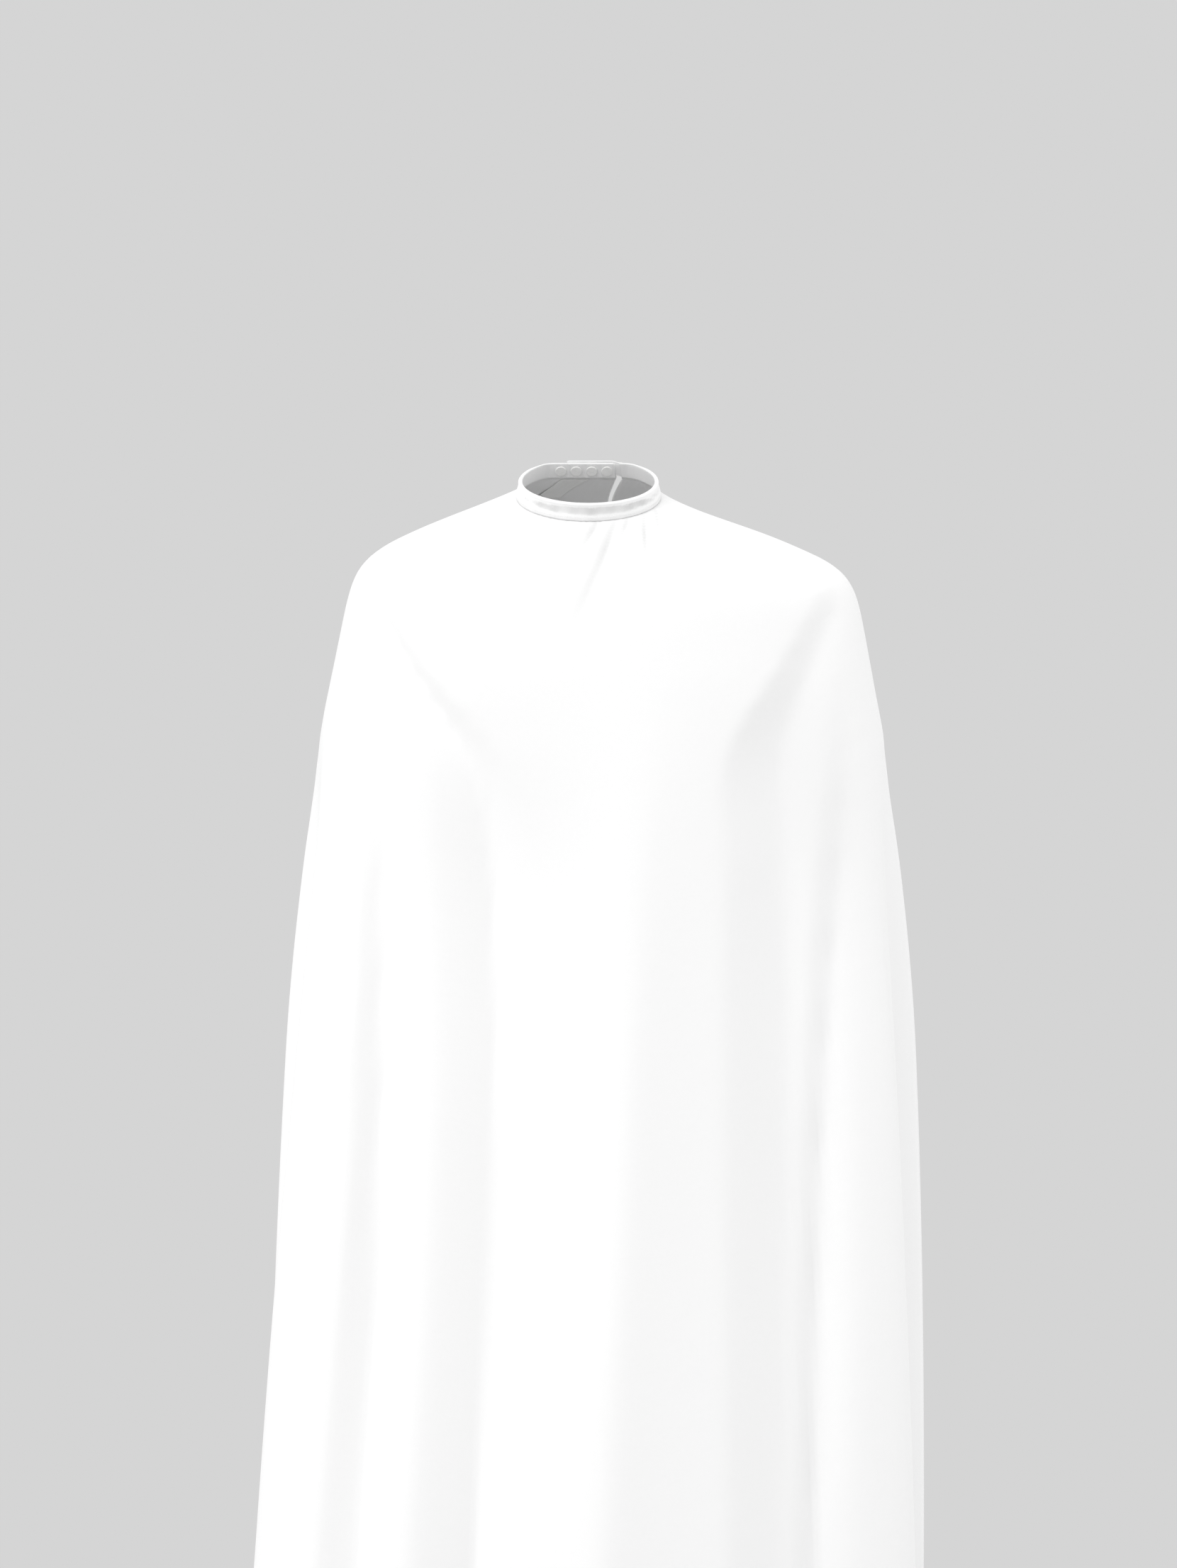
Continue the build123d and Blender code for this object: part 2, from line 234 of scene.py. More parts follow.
def shell_faces(rows: int, columns: int) -> list:
    """Faces of a closed sheet: an outer grid, an inner grid and the rim between them.

    Args:
        rows: rows of points in each grid.
        columns: points in each row.

    Returns:
        The faces; the inner grid's points follow the outer grid's.
    """
    count = rows * columns
    outer = np.arange(count).reshape(rows, columns)
    inner = outer + count
    faces = [grid_quads(rows, columns), grid_quads(rows, columns, count, flip=True)]
    faces.append(bridge(outer[0], inner[0]))
    faces.append(bridge(inner[-1], outer[-1]))
    faces.append(bridge(inner[:, 0], outer[:, 0]))
    faces.append(bridge(outer[:, -1], inner[:, -1]))
    return np.concatenate(faces).tolist()


def tube_faces(rings: int, sides: int) -> list:
    """Faces of a closed tube: quads between its rings and a flat face on each end."""
    quads = grid_quads(rings, sides, around=True).tolist()
    last = (rings - 1) * sides
    return quads + [list(range(sides)), list(range(last, last + sides))[::-1]]


# ---------------------------------------------------------------- finishes
def add_node(tree: bpy.types.NodeTree, kind: str, **values: object) -> bpy.types.Node:
    """A node with some of its properties set."""
    node = tree.nodes.new(kind)
    for name, value in values.items():
        setattr(node, name, value)
    return node


def math_node(tree: bpy.types.NodeTree, operation: str, first: object, second: object = None,
              third: object = None) -> bpy.types.NodeSocket:
    """Result of a Math node on sockets or numbers.

    Args:
        tree: the tree that it is made in.
        operation: Blender's name of the operation.
        first: a socket or a number.
        second: a socket, a number or None.
        third: a socket, a number or None.

    Returns:
        The node's output.
    """
    node = add_node(tree, "ShaderNodeMath", operation=operation)
    for socket, value in zip(node.inputs, (first, second, third)):
        if isinstance(value, bpy.types.NodeSocket):
            tree.links.new(value, socket)
        elif value is not None:
            socket.default_value = value
    return node.outputs[0]


def new_group(name: str, inputs: dict, outputs: dict) -> tuple:
    """An empty shader node group.

    Args:
        name: its name.
        inputs: socket type of each input by name.
        outputs: socket type of each output by name.

    Returns:
        The group, its input node and its output node.
    """
    group = bpy.data.node_groups.new(name, "ShaderNodeTree")
    for label, kind in inputs.items():
        group.interface.new_socket(label, in_out="INPUT", socket_type=kind)
    for label, kind in outputs.items():
        group.interface.new_socket(label, in_out="OUTPUT", socket_type=kind)
    return group, add_node(group, "NodeGroupInput"), add_node(group, "NodeGroupOutput")


def plain_weave() -> bpy.types.NodeTree:
    """Plain weave: the product of a wave across and a wave along, with uneven yarns and slubs."""
    number, vector = "NodeSocketFloat", "NodeSocketVector"
    group, source, sink = new_group(
        "plain_weave", {"Place": vector, "Pitch": number, "Unevenness": number},
        {"Height": number, "Shade": number})
    link = group.links.new
    apart = add_node(group, "ShaderNodeSeparateXYZ")
    link(source.outputs["Place"], apart.inputs[0])
    turn = math_node(group, "DIVIDE", 2.0 * math.pi, source.outputs["Pitch"])
    across = math_node(group, "SINE", math_node(group, "MULTIPLY", apart.outputs[0], turn))
    along = math_node(group, "SINE", math_node(group, "MULTIPLY", apart.outputs[1], turn))
    yarn = math_node(group, "MULTIPLY", across, along)
    slub = add_node(group, "ShaderNodeTexNoise", noise_dimensions="3D")
    slub.inputs["Scale"].default_value = 260.0
    slub.inputs["Detail"].default_value = 2.0
    link(source.outputs["Place"], slub.inputs["Vector"])
    uneven = math_node(group, "SUBTRACT", slub.outputs["Fac"], 0.5)
    uneven = math_node(group, "MULTIPLY", uneven, source.outputs["Unevenness"])
    height = math_node(group, "ADD", yarn, uneven)
    link(math_node(group, "MULTIPLY_ADD", height, 0.5, 0.5), sink.inputs["Height"])
    shade = math_node(group, "MULTIPLY_ADD", height, 0.25, 0.5)
    link(shade, sink.inputs["Shade"])
    return group


def soft_crumple() -> bpy.types.NodeTree:
    """Faint creases left by folding and washing: two sizes of smooth noise added."""
    number, vector = "NodeSocketFloat", "NodeSocketVector"
    group, source, sink = new_group("soft_crumple", {"Place": vector, "Size": number},
                                    {"Height": number})
    rate = math_node(group, "DIVIDE", 1.0, source.outputs["Size"])
    parts = []
    for factor, share in ((1.0, 0.7), (3.1, 0.3)):
        noise = add_node(group, "ShaderNodeTexNoise", noise_dimensions="3D")
        noise.inputs["Detail"].default_value = 3.0
        group.links.new(source.outputs["Place"], noise.inputs["Vector"])
        group.links.new(math_node(group, "MULTIPLY", rate, factor), noise.inputs["Scale"])
        parts.append(math_node(group, "MULTIPLY", noise.outputs["Fac"], share))
    group.links.new(math_node(group, "ADD", *parts), sink.inputs["Height"])
    return group


@dataclass(frozen=True)
class ClothFinish:
    """White woven polyester: weave and faint crumples in bump, tone by the yarns, and painted shade where
    the mesh marks it.

    Args:
        name: the material's name.
        light: colour on the yarns.
        dark: colour between the yarns.
        pitch: two yarns, in metres.
        roughness: of the cloth.
        sheen: weight of the fine fibre sheen.
        crumple_size: size of the faint creases, in metres.
        crumple_height: their height, in metres.
        weave_height: height of the yarns, in metres.
        painted_shade_share: how much of the painted shade shows where the mesh marks it, 0 to 1.
        painted_shade_tone: grey of the painted shade at its deepest.
    """

    name: str
    light: tuple
    dark: tuple
    pitch: float = 0.5 * MM
    roughness: float = 0.78
    sheen: float = 0.12
    crumple_size: float = 26 * MM
    crumple_height: float = 0.35 * MM
    weave_height: float = 0.05 * MM
    painted_shade_share: float = 0.0
    painted_shade_tone: float = 0.60

    def material(self, groups: dict) -> bpy.types.Material:
        """The finish as a material.

        Args:
            groups: the shared node groups by name.

        Returns:
            The material.
        """
        made = bpy.data.materials.new(self.name)
        made.use_nodes = True
        tree = made.node_tree
        shader = tree.nodes["Principled BSDF"]
        shader.inputs["Sheen Weight"].default_value = self.sheen
        shader.inputs["Sheen Roughness"].default_value = 0.4
        place = add_node(tree, "ShaderNodeUVMap", uv_map="cloth")
        weave = add_node(tree, "ShaderNodeGroup", node_tree=groups["weave"])
        tree.links.new(place.outputs["UV"], weave.inputs["Place"])
        weave.inputs["Pitch"].default_value = self.pitch
        weave.inputs["Unevenness"].default_value = 1.2
        crumple = add_node(tree, "ShaderNodeGroup", node_tree=groups["crumple"])
        tree.links.new(place.outputs["UV"], crumple.inputs["Place"])
        crumple.inputs["Size"].default_value = self.crumple_size
        tone = add_node(tree, "ShaderNodeMix", data_type="RGBA")
        tone.inputs["A"].default_value = (*self.dark, 1.0)
        tone.inputs["B"].default_value = (*self.light, 1.0)
        tree.links.new(weave.outputs["Shade"], tone.inputs["Factor"])
        # painted shade: the colour is darkened towards painted_shade_tone by the mesh's mark for creases,
        # the band's hollow and the seam under the band
        indent_and_painted_shade = add_node(tree, "ShaderNodeAttribute", attribute_name=PAINTED_SHADE)
        share = math_node(tree, "MULTIPLY", indent_and_painted_shade.outputs["Fac"], self.painted_shade_share)
        shaded = add_node(tree, "ShaderNodeMix", data_type="RGBA")
        tree.links.new(share, shaded.inputs["Factor"])
        tree.links.new(tone.outputs["Result"], shaded.inputs["A"])
        shaded.inputs["B"].default_value = (self.painted_shade_tone,) * 3 + (1.0,)
        tree.links.new(shaded.outputs["Result"], shader.inputs["Base Color"])
        matt = math_node(tree, "MULTIPLY_ADD", weave.outputs["Shade"], -0.12, self.roughness + 0.06)
        tree.links.new(matt, shader.inputs["Roughness"])
        soft = add_node(tree, "ShaderNodeBump")
        soft.inputs["Distance"].default_value = self.crumple_height
        tree.links.new(crumple.outputs["Height"], soft.inputs["Height"])
        fine = add_node(tree, "ShaderNodeBump")
        fine.inputs["Strength"].default_value = 0.6
        fine.inputs["Distance"].default_value = self.weave_height
        tree.links.new(weave.outputs["Height"], fine.inputs["Height"])
        tree.links.new(soft.outputs["Normal"], fine.inputs["Normal"])
        tree.links.new(fine.outputs["Normal"], shader.inputs["Normal"])
        return made


@dataclass(frozen=True)
class MouldedFinish:
    """A solid material with a fine surface: plastic, thread or tape.

    Args:
        name: the material's name.
        colour: its colour.
        roughness: mean roughness.
        grain: size of the surface's unevenness, in metres.
        relief: height of that unevenness, in metres.
        coat: weight of a clear gloss over it.
    """

    name: str
    colour: tuple
    roughness: float
    grain: float
    relief: float
    coat: float = 0.0

    def material(self, groups: dict) -> bpy.types.Material:
        """The finish as a material.

        Args:
            groups: the shared node groups by name.

        Returns:
            The material.
        """
        made = bpy.data.materials.new(self.name)
        made.use_nodes = True
        tree = made.node_tree
        shader = tree.nodes["Principled BSDF"]
        shader.inputs["Coat Weight"].default_value = self.coat
        place = add_node(tree, "ShaderNodeTexCoord")
        crumple = add_node(tree, "ShaderNodeGroup", node_tree=groups["crumple"])
        tree.links.new(place.outputs["Object"], crumple.inputs["Place"])
        crumple.inputs["Size"].default_value = self.grain
        tone = add_node(tree, "ShaderNodeMix", data_type="RGBA")
        tone.inputs["A"].default_value = (*(0.94 * c for c in self.colour), 1.0)
        tone.inputs["B"].default_value = (*self.colour, 1.0)
        tree.links.new(crumple.outputs["Height"], tone.inputs["Factor"])
        tree.links.new(tone.outputs["Result"], shader.inputs["Base Color"])
        uneven = math_node(tree, "MULTIPLY_ADD", crumple.outputs["Height"], 0.1,
                           self.roughness - 0.05)
        tree.links.new(uneven, shader.inputs["Roughness"])
        bump = add_node(tree, "ShaderNodeBump")
        bump.inputs["Distance"].default_value = self.relief
        tree.links.new(crumple.outputs["Height"], bump.inputs["Height"])
        tree.links.new(bump.outputs["Normal"], shader.inputs["Normal"])
        return made


class Finishes:
    """The cape's materials, one for each of the record's slots."""

    def __init__(self) -> None:
        """Builds the shared groups and every material."""
        groups = {"weave": plain_weave(), "crumple": soft_crumple()}
        # painted shade: the cape cloth and the band are painted darker where their meshes mark creases,
        # the band's hollow and the seam under the band
        cloth = ClothFinish("white_polyester", (0.95, 0.95, 0.95), (0.905, 0.905, 0.905), painted_shade_share=0.6)
        band = ClothFinish("white_polyester_band", (0.95, 0.95, 0.95), (0.90, 0.90, 0.90),
                           crumple_size=7 * MM, crumple_height=0.25 * MM, painted_shade_share=0.9)
        satin = ClothFinish("blank_satin_label", (0.95, 0.95, 0.94), (0.90, 0.90, 0.89),
                            pitch=0.3 * MM, roughness=0.42, sheen=0.25)
        self.slots = {
            "cape_cloth": cloth.material(groups),
            "band_cloth": band.material(groups),
            "label": satin.material(groups),
            "thread": MouldedFinish("white_thread", (0.95, 0.95, 0.95), 0.62, 0.6 * MM,
                                    0.05 * MM).material(groups),
            "elastic": MouldedFinish("elastic_tape", (0.9, 0.9, 0.88), 0.8, 0.8 * MM,
                                     0.1 * MM).material(groups),
            "interlining": MouldedFinish("felted_interlining", (0.88, 0.88, 0.86), 0.9, 1.2 * MM,
                                         0.15 * MM).material(groups),
            "snap": MouldedFinish("white_acetal", (0.92, 0.92, 0.91), 0.28, 4 * MM,
                                  0.01 * MM, coat=0.15).material(groups),
        }

    def dress(self, piece: bpy.types.Object, body: Body) -> None:
        """Attaches a piece to the body that it rides on."""
        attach(piece, body.value)

    def dress_node(self, node: str, slot: str) -> None:
        """Gives a CAD node its material."""
        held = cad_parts[node]
        if not held.material_slots:
            held.data.materials.append(self.slots[slot])
        for holder in held.material_slots:
            holder.material = self.slots[slot]


# ---------------------------------------------------------------- the band's shape
@dataclass(frozen=True)
class BandShape:
    """Plan of the neck band: round in front, flat at the nape, leaning in and tilted forward.

    Args:
        radius: middle of the wall at the lower edge.
        nape: origin to the middle of the flat stretch, at the lower edge.
        corner: radius of the two corners beside the flat stretch.
        height: of the band along its slant.
        tilt: of its axis, forward.
        flare: of its wall, inward.
        half: half of the wall's thickness; not used.
        underlap_end: where the band's underlap ends, along X.
        tab_root: where the band's other end and the tab's root are, along X.
    """

    radius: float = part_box("neck_band_cover")[1].x - 1.25 * MM
    nape: float = 55 * MM
    corner: float = 20 * MM
    height: float = 17.5 * MM
    tilt: float = math.radians(17)
    flare: float = math.radians(14)
    half: float = 1.25 * MM
    underlap_end: float = 27 * MM
    tab_root: float = 33 * MM

    @property
    def rise(self) -> float:
        """Height of the band along its axis."""
        return self.height * math.cos(self.flare)

    @property
    def first(self) -> float:
        """Azimuth of the underlap's end."""
        return -math.pi - math.atan2(self.underlap_end, self.nape)

    @property
    def last(self) -> float:
        """Azimuth of the tab's root."""
        return math.pi - math.atan2(self.tab_root, self.nape)

    @property
    def lean(self) -> float:
        """Lean of the nape stretch from the vertical."""
        return self.tilt + self.flare

    def outline(self, azimuth: np.ndarray, grow: np.ndarray) -> np.ndarray:
        """Distance from the axis to the outline, moved out by an amount.

        Args:
            azimuth: direction from the axis.
            grow: how far the outline is moved outwards.

        Returns:
            The distance: the front circle, a corner's arc or the flat nape.
        """
        across, back = np.abs(np.sin(azimuth)), -np.cos(azimuth)
        up = self.nape - self.corner
        side = math.sqrt((self.radius - self.corner) ** 2 - up**2)
        along = across * side + back * up
        arc = along**2 - side**2 - up**2 + (self.corner + grow) ** 2
        corner = along + np.sqrt(np.maximum(arc, 0.0))
        flat = (self.nape + grow) / np.maximum(back, 1e-6)
        is_flat = (back > 0) & (across * (self.nape + grow) <= back * side)
        return np.where(is_flat, flat, np.where(across * up <= back * side, corner,
                                                self.radius + grow))

    def point(self, azimuth: np.ndarray, rise: np.ndarray, offset: np.ndarray) -> np.ndarray:
        """Points on or beside the band's middle surface.

        Args:
            azimuth: direction from the axis.
            rise: height along the axis, 0 half way up.
            offset: distance outwards from the middle of the wall.

        Returns:
            The points.
        """
        grow = offset - (rise + self.rise / 2) * math.tan(self.flare)
        reach = self.outline(azimuth, grow)
        x, back = reach * np.sin(azimuth), -reach * np.cos(azimuth)
        lift = rise + 0 * back
        return np.stack([x, back * math.cos(self.tilt) - lift * math.sin(self.tilt),
                         back * math.sin(self.tilt) + lift * math.cos(self.tilt)], -1)

    def nape_point(self, x: np.ndarray, out: np.ndarray, up: np.ndarray) -> np.ndarray:
        """Points given along, outwards from and up the flat nape stretch.

        Args:
            x: along X.
            out: outwards from the middle of the wall.
            up: up the slant, 0 half way.

        Returns:
            The points.
        """
        inset = self.nape - self.rise / 2 * math.tan(self.flare)
        y = inset * math.cos(self.tilt) + out * math.cos(self.lean) - up * math.sin(self.lean)
        z = inset * math.sin(self.tilt) + out * math.sin(self.lean) + up * math.cos(self.lean)
        return np.stack(np.broadcast_arrays(x, y, z), -1)


# ---------------------------------------------------------------- the cloth
@dataclass(frozen=True)
class Valley:
    """One valley between folds on the front of the cape, by its values at each of LEVELS.

    Args:
        places: its X.
        depths: its depth.
        right_walls: width of its wall on the wearer's right (-X).
        left_walls: width of its wall on the wearer's left (+X).
        bends: shape of each wall: 0 is even, 1 is steepest at its crest, -1 at its bottom.
    """

    places: tuple
    depths: tuple
    right_walls: tuple
    left_walls: tuple
    bends: tuple

    def depth(self, x: np.ndarray, below: np.ndarray) -> np.ndarray:
        """Depth of the valley at points of the cloth.

        With n for 1 less distance / wall, rounded at the crest, it is n (1 + bend (1 - n)).

        Args:
            x: X of each point.
            below: how far each point is below the neck.

        Returns:
            The depth at each point.
        """
        off = x - through(LEVELS, self.places, below)
        walls = [through(LEVELS, side, below) for side in (self.right_walls, self.left_walls)]
        near = soft_past(1.0 - np.abs(off / np.where(off < 0, *walls)), 0.06)
        shape = near * (1.0 + np.where(off < 0, *self.bends) * (1.0 - near))
        return np.maximum(through(LEVELS, self.depths, below), 0.0) * shape


FRONT_VALLEYS = (
    # a short slanted one that runs in from the right shoulder
    Valley((-0.206, -0.166, -0.122, -0.094, -0.090, -0.090), (0.010, 0.015, 0.012, 0.003, 0.000, 0.000),
           (0.020, 0.025, 0.038, 0.050, 0.050, 0.050), (0.014, 0.018, 0.032, 0.050, 0.050, 0.050),
           (0.2, -0.4)),
    # the long one beside the middle, on the right
    Valley((-0.096, -0.096, -0.094, -0.091, -0.089, -0.110), (0.000, 0.000, 0.007, 0.032, 0.046, 0.050),
           (0.092, 0.092, 0.094, 0.108, 0.116, 0.098), (0.126, 0.126, 0.126, 0.126, 0.126, 0.122),
           (0.1, 0.0)),
    # the outer one on the right
    Valley((-0.198, -0.198, -0.196, -0.196, -0.196, -0.218), (0.000, 0.000, 0.003, 0.012, 0.021, 0.031),
           (0.024, 0.024, 0.024, 0.026, 0.032, 0.046), (0.040, 0.040, 0.044, 0.050, 0.050, 0.044),
           (0.4, -0.4)),
    # the turn-back beyond the middle, on the left
    Valley((0.130, 0.130, 0.128, 0.134, 0.136, 0.138), (0.000, 0.000, 0.003, 0.011, 0.020, 0.028),
           (0.066, 0.066, 0.066, 0.080, 0.098, 0.130), (0.240, 0.240, 0.240, 0.240, 0.240, 0.240),
           (0.9, 0.0)),
    # the deep one that runs in from the left shoulder
    Valley((0.238, 0.206, 0.182, 0.186, 0.190, 0.190), (0.007, 0.013, 0.021, 0.029, 0.034, 0.037),
           (0.018, 0.027, 0.044, 0.052, 0.056, 0.052), (0.030, 0.050, 0.090, 0.130, 0.140, 0.150),
           (0.8, -0.5)),
    # the narrow outer one on the left
    Valley((0.250, 0.247, 0.244, 0.236, 0.224, 0.216), (0.000, 0.001, 0.003, 0.010, 0.015, 0.019),
           (0.014, 0.014, 0.014, 0.015, 0.016, 0.016), (0.020, 0.022, 0.030, 0.036, 0.042, 0.052),
           (0.3, -0.7)),
)


@dataclass(frozen=True)
class Crease:
    """One straight crease that starts at the neckline in front.

    Args:
        top: its X and its drop below the neck at the seam.
        foot: the same where it ends.
        depth: how far it sinks.
        width: half its width at the top.
    """

    top: tuple
    foot: tuple
    depth: float
    width: float

    def shape(self, x: np.ndarray, below: np.ndarray) -> tuple:
        """How far points of the cloth sink in the crease, and how deep in its shade they lie.

        A bell-shaped groove with a lower ridge beside it widens and fades towards its foot. The
        shade starts at the seam and the sinking a little below it, so the seam stays closed.

        Args:
            x: X of each point.
            below: how far each point is below the neck.

        Returns:
            The sinking, in metres, and the shade, 0 to 1.
        """
        along = (below - self.top[1]) / (self.foot[1] - self.top[1])
        line = self.top[0] + (self.foot[0] - self.top[0]) * along
        off = (x - line) / (self.width * (0.8 + 0.8 * np.clip(along, 0, 1)))
        fade = smooth_step((1.05 - along) / 0.9)
        groove = np.exp(-off**2) - 0.4 * np.exp(-(off - 1.6) ** 2)
        sunk = self.depth * fade * smooth_step((along - 0.04) / 0.22) * groove
        # painted shade in the crease, for the cloth's colour
        shade = fade * smooth_step((along + 0.03) / 0.10) * np.exp(-((off + 0.2) / 0.9) ** 2)
        return sunk, 0.75 * shade * min(self.depth / (3 * MM), 1)


NECK_CREASES = (
    Crease((0.027, 0.025), (-0.014, 0.130), 5.4 * MM, 5.6 * MM),
    Crease((0.010, 0.026), (-0.016, 0.068), 3.8 * MM, 4.6 * MM),
    Crease((0.038, 0.025), (0.027, 0.054), 2.8 * MM, 3.6 * MM),
    Crease((0.053, 0.023), (0.055, 0.082), 3.2 * MM, 2.8 * MM),
    Crease((0.065, 0.019), (0.071, 0.056), 2.2 * MM, 2.8 * MM),
    Crease((-0.020, 0.026), (-0.026, 0.050), 1.8 * MM, 4.0 * MM),
    Crease((-0.050, 0.022), (-0.060, 0.048), 1.0 * MM, 4.0 * MM),
)


@dataclass(frozen=True)
class WornForm:
    """The cape's worn shape: from the neck over the shoulders, then down in folds.

    Args:
        right_half: half width at the wearer's right shoulder (-X).
        left_half: half width at the wearer's left shoulder (+X).
        chest: depth in front, where the cloth turns down.
        back: depth behind.
        plan_power: squareness of the plan.
        slopes: falls from the neck at the right shoulder, left shoulder, front and back.
        turn: how softly the cloth turns down at the shoulder.
        flares: how far the skirt stands out on the right and on the left.
        flare_lengths: the drop over which it does so, on the right and on the left.
        hem_lengths: cloth from the neckline to the hem in front, at the sides and behind.
        side_edge: azimuth where the side hems hang.
        side_spread: half of the azimuth that they take.
        opening: azimuth of the back opening at its hem, and half its gap.
        side_folds: number of folds round the whole cape, and their depth at the sides and back.
    """

    right_half: float = 0.227
    left_half: float = 0.258
    chest: float = 0.118
    back: float = 0.112
    plan_power: float = 2.5
    slopes: tuple = (0.437, 0.357, 0.768, 0.454)
    turn: float = 0.013
    flares: tuple = (0.262, 0.144)
    flare_lengths: tuple = (1.2, 0.7)
    hem_lengths: tuple = (1.225, 0.640, 0.310)
    side_edge: float = math.radians(112)
    side_spread: float = math.radians(14)
    opening: tuple = (math.radians(171), math.radians(0.5))
    side_folds: tuple = (15, 0.022)

    def azimuths(self, across: np.ndarray, band: BandShape) -> tuple:
        """Azimuths at the neck and in the skirt of places round the cloth.

        Args:
            across: 0 to 1 from the opening's edge on the underlap side to its other edge.
            band: the band's shape.

        Returns:
            The neck azimuth and the skirt azimuth.
        """
        low, high = self.opening[0] - 2 * math.pi + self.opening[1], self.opening[0] - self.opening[1]
        return band.first + (band.last - band.first) * across, low + (high - low) * across

    def hem(self, azimuth: np.ndarray) -> np.ndarray:
        """Length of cloth from the neckline to the hem, by skirt azimuth."""
        away = np.abs((azimuth + math.pi) % (2 * math.pi) - math.pi)
        front, side, rear = self.hem_lengths
        fall = smooth_step((away - self.side_edge + self.side_spread) / (2 * self.side_spread))
        rise = smooth_step((away - self.side_edge) / (math.pi - self.side_edge))
        return front + (side - front) * fall + (rear - side) * rise

    def points(self, across: np.ndarray, length: np.ndarray, band: BandShape) -> tuple:
        """The worn cloth, with folds at its sides and back and without.

        Each place starts at the neckline, goes down the shoulder's slope, and then hangs: the
        plan stands out by flare (1 - exp(-drop / flare_length)) and is folded more with the drop.

        Args:
            across: place round the cloth, 0 to 1.
            length: cloth from the neckline.
            band: the band's shape.

        Returns:
            The folded points, the unfolded points, the outward directions and the drops.
        """
        neck, skirt = self.azimuths(across, band)
        sine, cosine = np.sin(skirt), np.cos(skirt)
        left = smooth_step((sine + 1) / 2)

        def sided(pair: tuple) -> np.ndarray:
            """Blend from the value on the right to the value on the left."""
            return pair[0] + (pair[1] - pair[0]) * left

        wide = sided((self.right_half, self.left_half))
        deep = np.where(cosine > 0, self.chest, self.back)
        power = self.plan_power
        reach = ((np.abs(sine) / wide) ** power + (np.abs(cosine) / deep) ** power) ** (-1 / power)
        side = sided(self.slopes[:2])
        slope = side + (np.where(cosine > 0, self.slopes[2], self.slopes[3]) - side) * np.abs(cosine) ** 3
        start = band.point(neck, -band.rise / 2 - 0.1 * MM + 0 * neck, 0 * neck)
        out = np.stack([sine, -cosine, 0 * sine], -1)
        run = (out * reach[..., None] - start) * (1, 1, 0)
        fall = np.linalg.norm(run, axis=-1) * slope
        shoulder = run - fall[..., None] * np.array((0, 0, 1))
        past = soft_past(length - np.linalg.norm(shoulder, axis=-1), self.turn)
        stand = sided(self.flares) * (1 - np.exp(-past / sided(self.flare_lengths)))
        stand = stand * (0.7 + 0.3 * sine**2)
        plain = start + unit(shoulder) * (length - past)[..., None] + out * stand[..., None]
        plain = plain - past[..., None] * np.array((0, 0, 1))
        count, depth = self.side_folds
        beside = 1 - smooth_step((cosine + 0.1) / 0.45)
        ripple = depth * np.cos(count * skirt) * smooth_step((past - 0.03) / 0.45) * beside
        return plain + out * ripple[..., None], plain, out, past

    def fold_front(self, points: np.ndarray, skirt: np.ndarray, past: np.ndarray) -> np.ndarray:
        """Sinks the front's valleys into the cloth.

        Args:
            points: the cloth's points.
            skirt: their skirt azimuths.
            past: their drops below the turn of the shoulder.

        Returns:
            The points, moved back by the depth of every valley there.
        """
        depth = sum(valley.depth(points[..., 0], -points[..., 2]) for valley in FRONT_VALLEYS)
        share = smooth_step((np.cos(skirt) + 0.05) / 0.35) * smooth_step((past + 0.01) / 0.05)
        return points + (depth * share)[..., None] * np.array((0, 1, 0))


